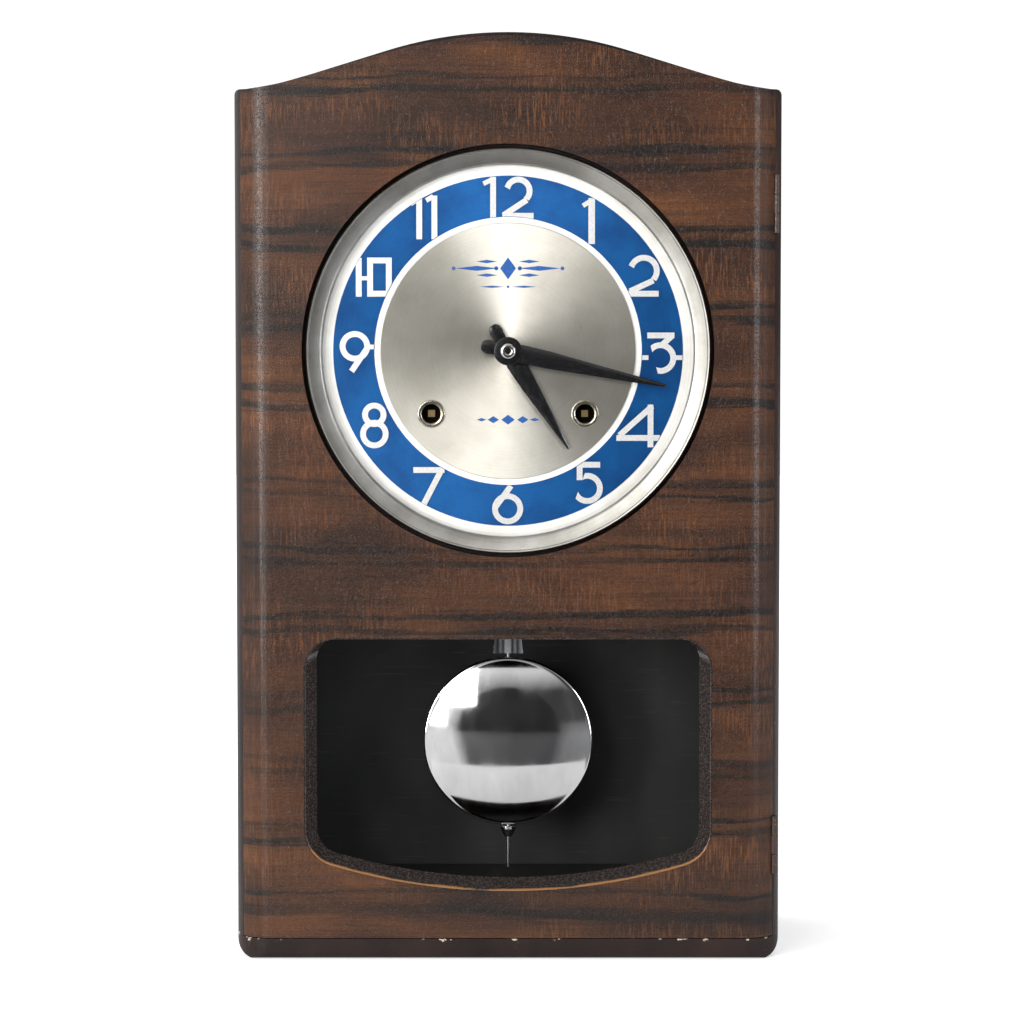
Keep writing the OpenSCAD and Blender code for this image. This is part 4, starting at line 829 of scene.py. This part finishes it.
# Polished nickel plate: a soft mirror, slightly warm, with a faint haze.
polished_nickel, tree, shader = finish("polished_nickel", {"Metallic": 1.0, "Roughness": 0.14})
spot = add(tree, "TexCoord").outputs["Object"]
haze = add(tree, "TexNoise", {"Vector": spot, "Scale": 260.0, "Detail": 5.0})
tone = stops(add(tree, "ValToRGB", {"Fac": haze}), [(0.4, "#c4c2be"), (0.65, "#dfdedb")])
tree.links.new(tone.outputs[0], shader.inputs["Base Color"])
nut_low, nut_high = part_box("hand_nut")
nut = spun(
    "domed_hand_nut", (dial_x, dial_z),
    [
        (0.0017, nut_high.y), (0.0039, nut_high.y), (0.0041, nut_high.y - 0.0003),
        (0.0041, nut_low.y + 0.0009), (0.0038, nut_low.y + 0.0004), (0.0032, nut_low.y + 0.0001),
        (0.0024, nut_low.y), (0.0017, nut_low.y + 0.0002), (0.0017, nut_high.y),
    ],
    sides=96, smooth=50,
)
fit(nut, "minute", "nickel", polished_nickel, "hand_nut")

# ---------- Pendulum bob ----------
# Two shallow pressed shells meet at a thin crimped rim and are chromed all over. Fine wiping marks
# and a slightly uneven pressing break up the mirror.
bob_low, bob_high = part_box("bob_shell")
bob_x, bob_z = (bob_low.x + bob_high.x) / 2, (bob_low.z + bob_high.z) / 2
bob_y = (bob_low.y + bob_high.y) / 2
bob_r, bob_half_t = (bob_high.x - bob_low.x) / 2, (bob_high.y - bob_low.y) / 2
wiped_chrome, tree, shader = finish("wiped_chrome", {"Metallic": 1.0, "Roughness": 0.07})
spot = add(tree, "TexCoord").outputs["Object"]
smear = add(
    tree, "TexNoise",
    {
        "Vector": add(
            tree, "Mapping", {"Vector": spot, "Scale": (60, 60, 25), "Rotation": (0, 0.5, 0)},
        ),
        "Scale": 1.0, "Detail": 6.0, "Roughness": 0.65,
    },
)
tone = stops(add(tree, "ValToRGB", {"Fac": smear}), [(0.35, "#d3d3d4"), (0.7, "#e8e8e8")])
tree.links.new(tone.outputs[0], shader.inputs["Base Color"])
gloss = stops(add(tree, "ValToRGB", {"Fac": smear}), [(0.4, 0.05), (0.75, 0.13)])
tree.links.new(gloss.outputs[0], shader.inputs["Roughness"])
pressed = add(
    tree, "Bump",
    {
        "Height": add(tree, "TexNoise", {"Vector": spot, "Scale": 26.0, "Detail": 1.0}),
        "Strength": 0.25, "Distance": 0.0006,
    },
)
tree.links.new(pressed.outputs[0], shader.inputs["Normal"])
rim_t = 0.0012
cap_h = bob_half_t - rim_t
cap_r = (bob_r ** 2 + cap_h ** 2) / (2 * cap_h)
rings = 26
ring_r = [bob_r * (i / rings) ** 0.8 for i in range(1, rings)]
dome = [(1e-5, bob_half_t)] + [(r, math.sqrt(cap_r ** 2 - r ** 2) - cap_r + bob_half_t) for r in ring_r]
edge = [(bob_r - 0.0006, rim_t + 0.0003), (bob_r - 0.0001, rim_t * 0.8)]
front = [(r, bob_y - t) for r, t in dome + edge]
shell = front + [(r, 2 * bob_y - y) for r, y in reversed(front)]
bob = spun("chromed_bob", (bob_x, bob_z), shell, sides=160, smooth=50)
fit(bob, "bob", "nickel", wiped_chrome, "bob_shell")

# ---------- Pendulum rod and fittings ----------
# A folded nickelled sleeve joins the rod to the bob and flares a little at its foot. Below the bob a
# cone-shaped rating nut runs on a thin steel pin.
# Nickelled sheet whose flutes are painted on: painted highlights down the middle and painted shade in
# dark upright lines beside them.
painted_flute_reach = 0.0085  # the flutes are laid out this far to each side
satin_nickel, tree, shader = finish("satin_nickel", {"Metallic": 0.85, "Roughness": 0.26})
spot = add(tree, "TexCoord").outputs["Object"]
flute_shade_across = add(
    tree, "MapRange",
    {"Value": add(tree, "SeparateXYZ", {0: spot}), "From Min": -painted_flute_reach, "From Max": painted_flute_reach},
)
# Bands across the sleeve: painted highlights and painted shade standing in for the flutes' reflections.
tone = stops(
    add(tree, "ValToRGB", {"Fac": flute_shade_across}),
    [
        (0.06, "#8d8f91"), (0.16, "#3b3d40"), (0.26, "#a9abad"), (0.34, "#4a4c4f"), (0.42, "#e9eaea"),
        (0.56, "#d9dadb"), (0.63, "#3a3c3f"), (0.72, "#b9bbbd"), (0.80, "#505255"), (0.92, "#c4c6c8"),
    ],
)
tree.links.new(tone.outputs[0], shader.inputs["Base Color"])
sleeve = softened("pendulum_bracket", "folded_sleeve", 0.0005)
fit(sleeve, "pendulum", "nickel", satin_nickel, "pendulum_bracket")
rating = softened("rating_nut", "rating_nut_cone", 0.0003)
fit(rating, "nut", "nickel", polished_nickel, "rating_nut")
# Drawn steel wire and strip: grey and bright, with lines along the draw.
bright_steel, tree, shader = finish("drawn_bright_steel", {"Metallic": 1.0, "Roughness": 0.3})
spot = add(tree, "TexCoord").outputs["Object"]
draw = add(
    tree, "TexNoise",
    {
        "Vector": add(tree, "Mapping", {"Vector": spot, "Scale": (900, 900, 60)}), "Scale": 1.0,
        "Detail": 3.0,
    },
)
tone = stops(add(tree, "ValToRGB", {"Fac": draw}), [(0.35, "#8f9296"), (0.65, "#b9bcbf")])
tree.links.new(tone.outputs[0], shader.inputs["Base Color"])
dress(
    bright_steel, "pendulum_rod", "suspension_spring", "cannon_pinion", "time_click", "strike_click",
    "anchor", "crutch",
)

# ---------- Movement ----------
# Rolled brass plates and cut brass wheels, satin from the mill, with a little brown tarnish.
rolled_brass, tree, shader = finish("rolled_brass", {"Metallic": 1.0, "Roughness": 0.36})
spot = add(tree, "TexCoord").outputs["Object"]
mill = add(
    tree, "TexNoise",
    {
        "Vector": add(tree, "Mapping", {"Vector": spot, "Scale": (40, 900, 900)}), "Scale": 1.0,
        "Detail": 3.0,
    },
)
age = add(tree, "TexNoise", {"Vector": spot, "Scale": 60.0, "Detail": 5.0})
tone = stops(
    add(tree, "ValToRGB", {"Fac": age}), [(0.35, "#8f7339"), (0.6, "#b9984f"), (0.75, "#c9ab62")],
)
lined = add(
    tree, "MixRGB",
    {
        "Fac": 0.5, "Color1": tone,
        "Color2": stops(add(tree, "ValToRGB", {"Fac": mill}), [(0.3, 0.7), (0.7, 1.1)]),
    },
    blend_type="MULTIPLY",
)
tree.links.new(lined.outputs[0], shader.inputs["Base Color"])
dress(
    rolled_brass, "front_plate", "back_plate", "suspension_cock", "time_barrel", "strike_barrel",
    "second_wheel", "third_wheel", "escape_wheel", "pin_wheel", "locking_wheel", "warning_wheel", "fly",
    "hour_wheel", "minute_wheel", "hammer_long", "hammer_short", "catch_stud", "catch_clip",
    "wood_screws", "winding_grommets",
)

# The winding arbors are oil-blackened steel, rubbed bright where the key goes on.
oiled_steel, tree, shader = finish("oil_blackened_steel", {"Metallic": 1.0, "Roughness": 0.4})
deep = add(tree, "SeparateXYZ", {0: add(tree, "TexCoord").outputs["Object"]})
rub_front_y, rub_back_y = -0.0462, -0.0455
rubbed = add(
    tree, "MapRange",
    {
        "Value": deep.outputs["Y"], "From Min": rub_front_y, "From Max": rub_back_y, "To Min": 1.0,
        "To Max": 0.0,
    },
)
tone = add(
    tree, "MixRGB",
    {"Fac": rubbed.outputs[0], "Color1": linear("#1c1a18"), "Color2": linear("#a08a62")},
)
tree.links.new(tone.outputs[0], shader.inputs["Base Color"])
dress(oiled_steel, "time_winding_arbor", "strike_winding_arbor")
# The centre wheel is brass on a dark steel arbor that runs out through the hands.
arbor_and_wheel, tree, shader = finish("brass_wheel_on_steel", {"Metallic": 1.0, "Roughness": 0.34})
arbor_r = 0.0016
far = round_about(tree, (dial_x, dial_z))[1]
outside = add(
    tree, "MapRange",
    {"Value": far, "From Min": arbor_r, "From Max": arbor_r + 0.0002, "To Min": 0.0, "To Max": 1.0},
)
tone = add(
    tree, "MixRGB",
    {"Fac": outside.outputs[0], "Color1": linear("#2c2b2a"), "Color2": linear("#b9984f")},
)
tree.links.new(tone.outputs[0], shader.inputs["Base Color"])
dress(arbor_and_wheel, "centre_wheel")

# ---------- Springs, gongs and hanger ----------
# Coiled mainsprings of heat-blued steel, drawn bronze gong rods in a block of cast iron, and a zinc-
# plated hanger plate and movement screws. The bob's weight is cast iron too.
blued_steel, tree, shader = finish("blued_spring_steel", {"Metallic": 1.0, "Roughness": 0.3})
heat = add(
    tree, "TexNoise", {"Vector": add(tree, "TexCoord").outputs["Object"], "Scale": 90.0, "Detail": 3.0},
)
tone = stops(add(tree, "ValToRGB", {"Fac": heat}), [(0.35, "#2c3b55"), (0.65, "#4a5468")])
tree.links.new(tone.outputs[0], shader.inputs["Base Color"])
dress(blued_steel, "time_mainspring", "strike_mainspring")
drawn_bronze, tree, shader = finish("drawn_bronze", {"Metallic": 1.0, "Roughness": 0.35})
skin = add(
    tree, "TexNoise",
    {
        "Vector": add(
            tree, "Mapping",
            {"Vector": add(tree, "TexCoord").outputs["Object"], "Scale": (500, 500, 40)},
        ),
        "Scale": 1.0, "Detail": 4.0,
    },
)
tone = stops(add(tree, "ValToRGB", {"Fac": skin}), [(0.35, "#6d5b36"), (0.65, "#93794a")])
tree.links.new(tone.outputs[0], shader.inputs["Base Color"])
dress(drawn_bronze, "gong_rods")
japanned_iron, tree, shader = finish("japanned_cast_iron", {"Roughness": 0.45, "IOR": 1.5})
cast = add(
    tree, "TexNoise",
    {"Vector": add(tree, "TexCoord").outputs["Object"], "Scale": 600.0, "Detail": 5.0},
)
tone = stops(add(tree, "ValToRGB", {"Fac": cast}), [(0.35, "#1b1c1d"), (0.65, "#343638")])
tree.links.new(tone.outputs[0], shader.inputs["Base Color"])
grit = add(tree, "Bump", {"Height": cast, "Strength": 0.6, "Distance": 0.0004})
tree.links.new(grit.outputs[0], shader.inputs["Normal"])
dress(japanned_iron, "gong_block", "bob_weight")
zinc_plate, tree, shader = finish("zinc_plated_steel", {"Metallic": 1.0, "Roughness": 0.38})
spangle = add(tree, "TexVoronoi", {"Vector": add(tree, "TexCoord").outputs["Object"], "Scale": 320.0})
tone = stops(
    add(tree, "ValToRGB", {"Fac": spangle.outputs["Distance"]}), [(0.1, "#a3a8ab"), (0.6, "#c6cacc")],
)
tree.links.new(tone.outputs[0], shader.inputs["Base Color"])
dress(zinc_plate, "hanger_plate", "movement_screws")

# ---------- Hinges ----------
# Two small brass butt hinges on the right, brushed over with the case's own paint when it was
# finished, with the brass showing through where the knuckles rub.
painted_brass, tree, shader = finish("painted_over_brass", {"Roughness": 0.42})
worn_at = add(
    tree, "TexNoise",
    {"Vector": add(tree, "TexCoord").outputs["Object"], "Scale": 700.0, "Detail": 4.0},
)
rubbed = stops(add(tree, "ValToRGB", {"Fac": worn_at}), [(0.62, 0.0), (0.68, 1.0)])
tone = add(tree, "MixRGB", {"Fac": rubbed, "Color1": linear("#33231f"), "Color2": linear("#8d7340")})
tree.links.new(tone.outputs[0], shader.inputs["Base Color"])
tree.links.new(rubbed.outputs[0], shader.inputs["Metallic"])
dress(painted_brass, "hinge_case_leaves", "hinge_door_leaves", "hinge_pins")
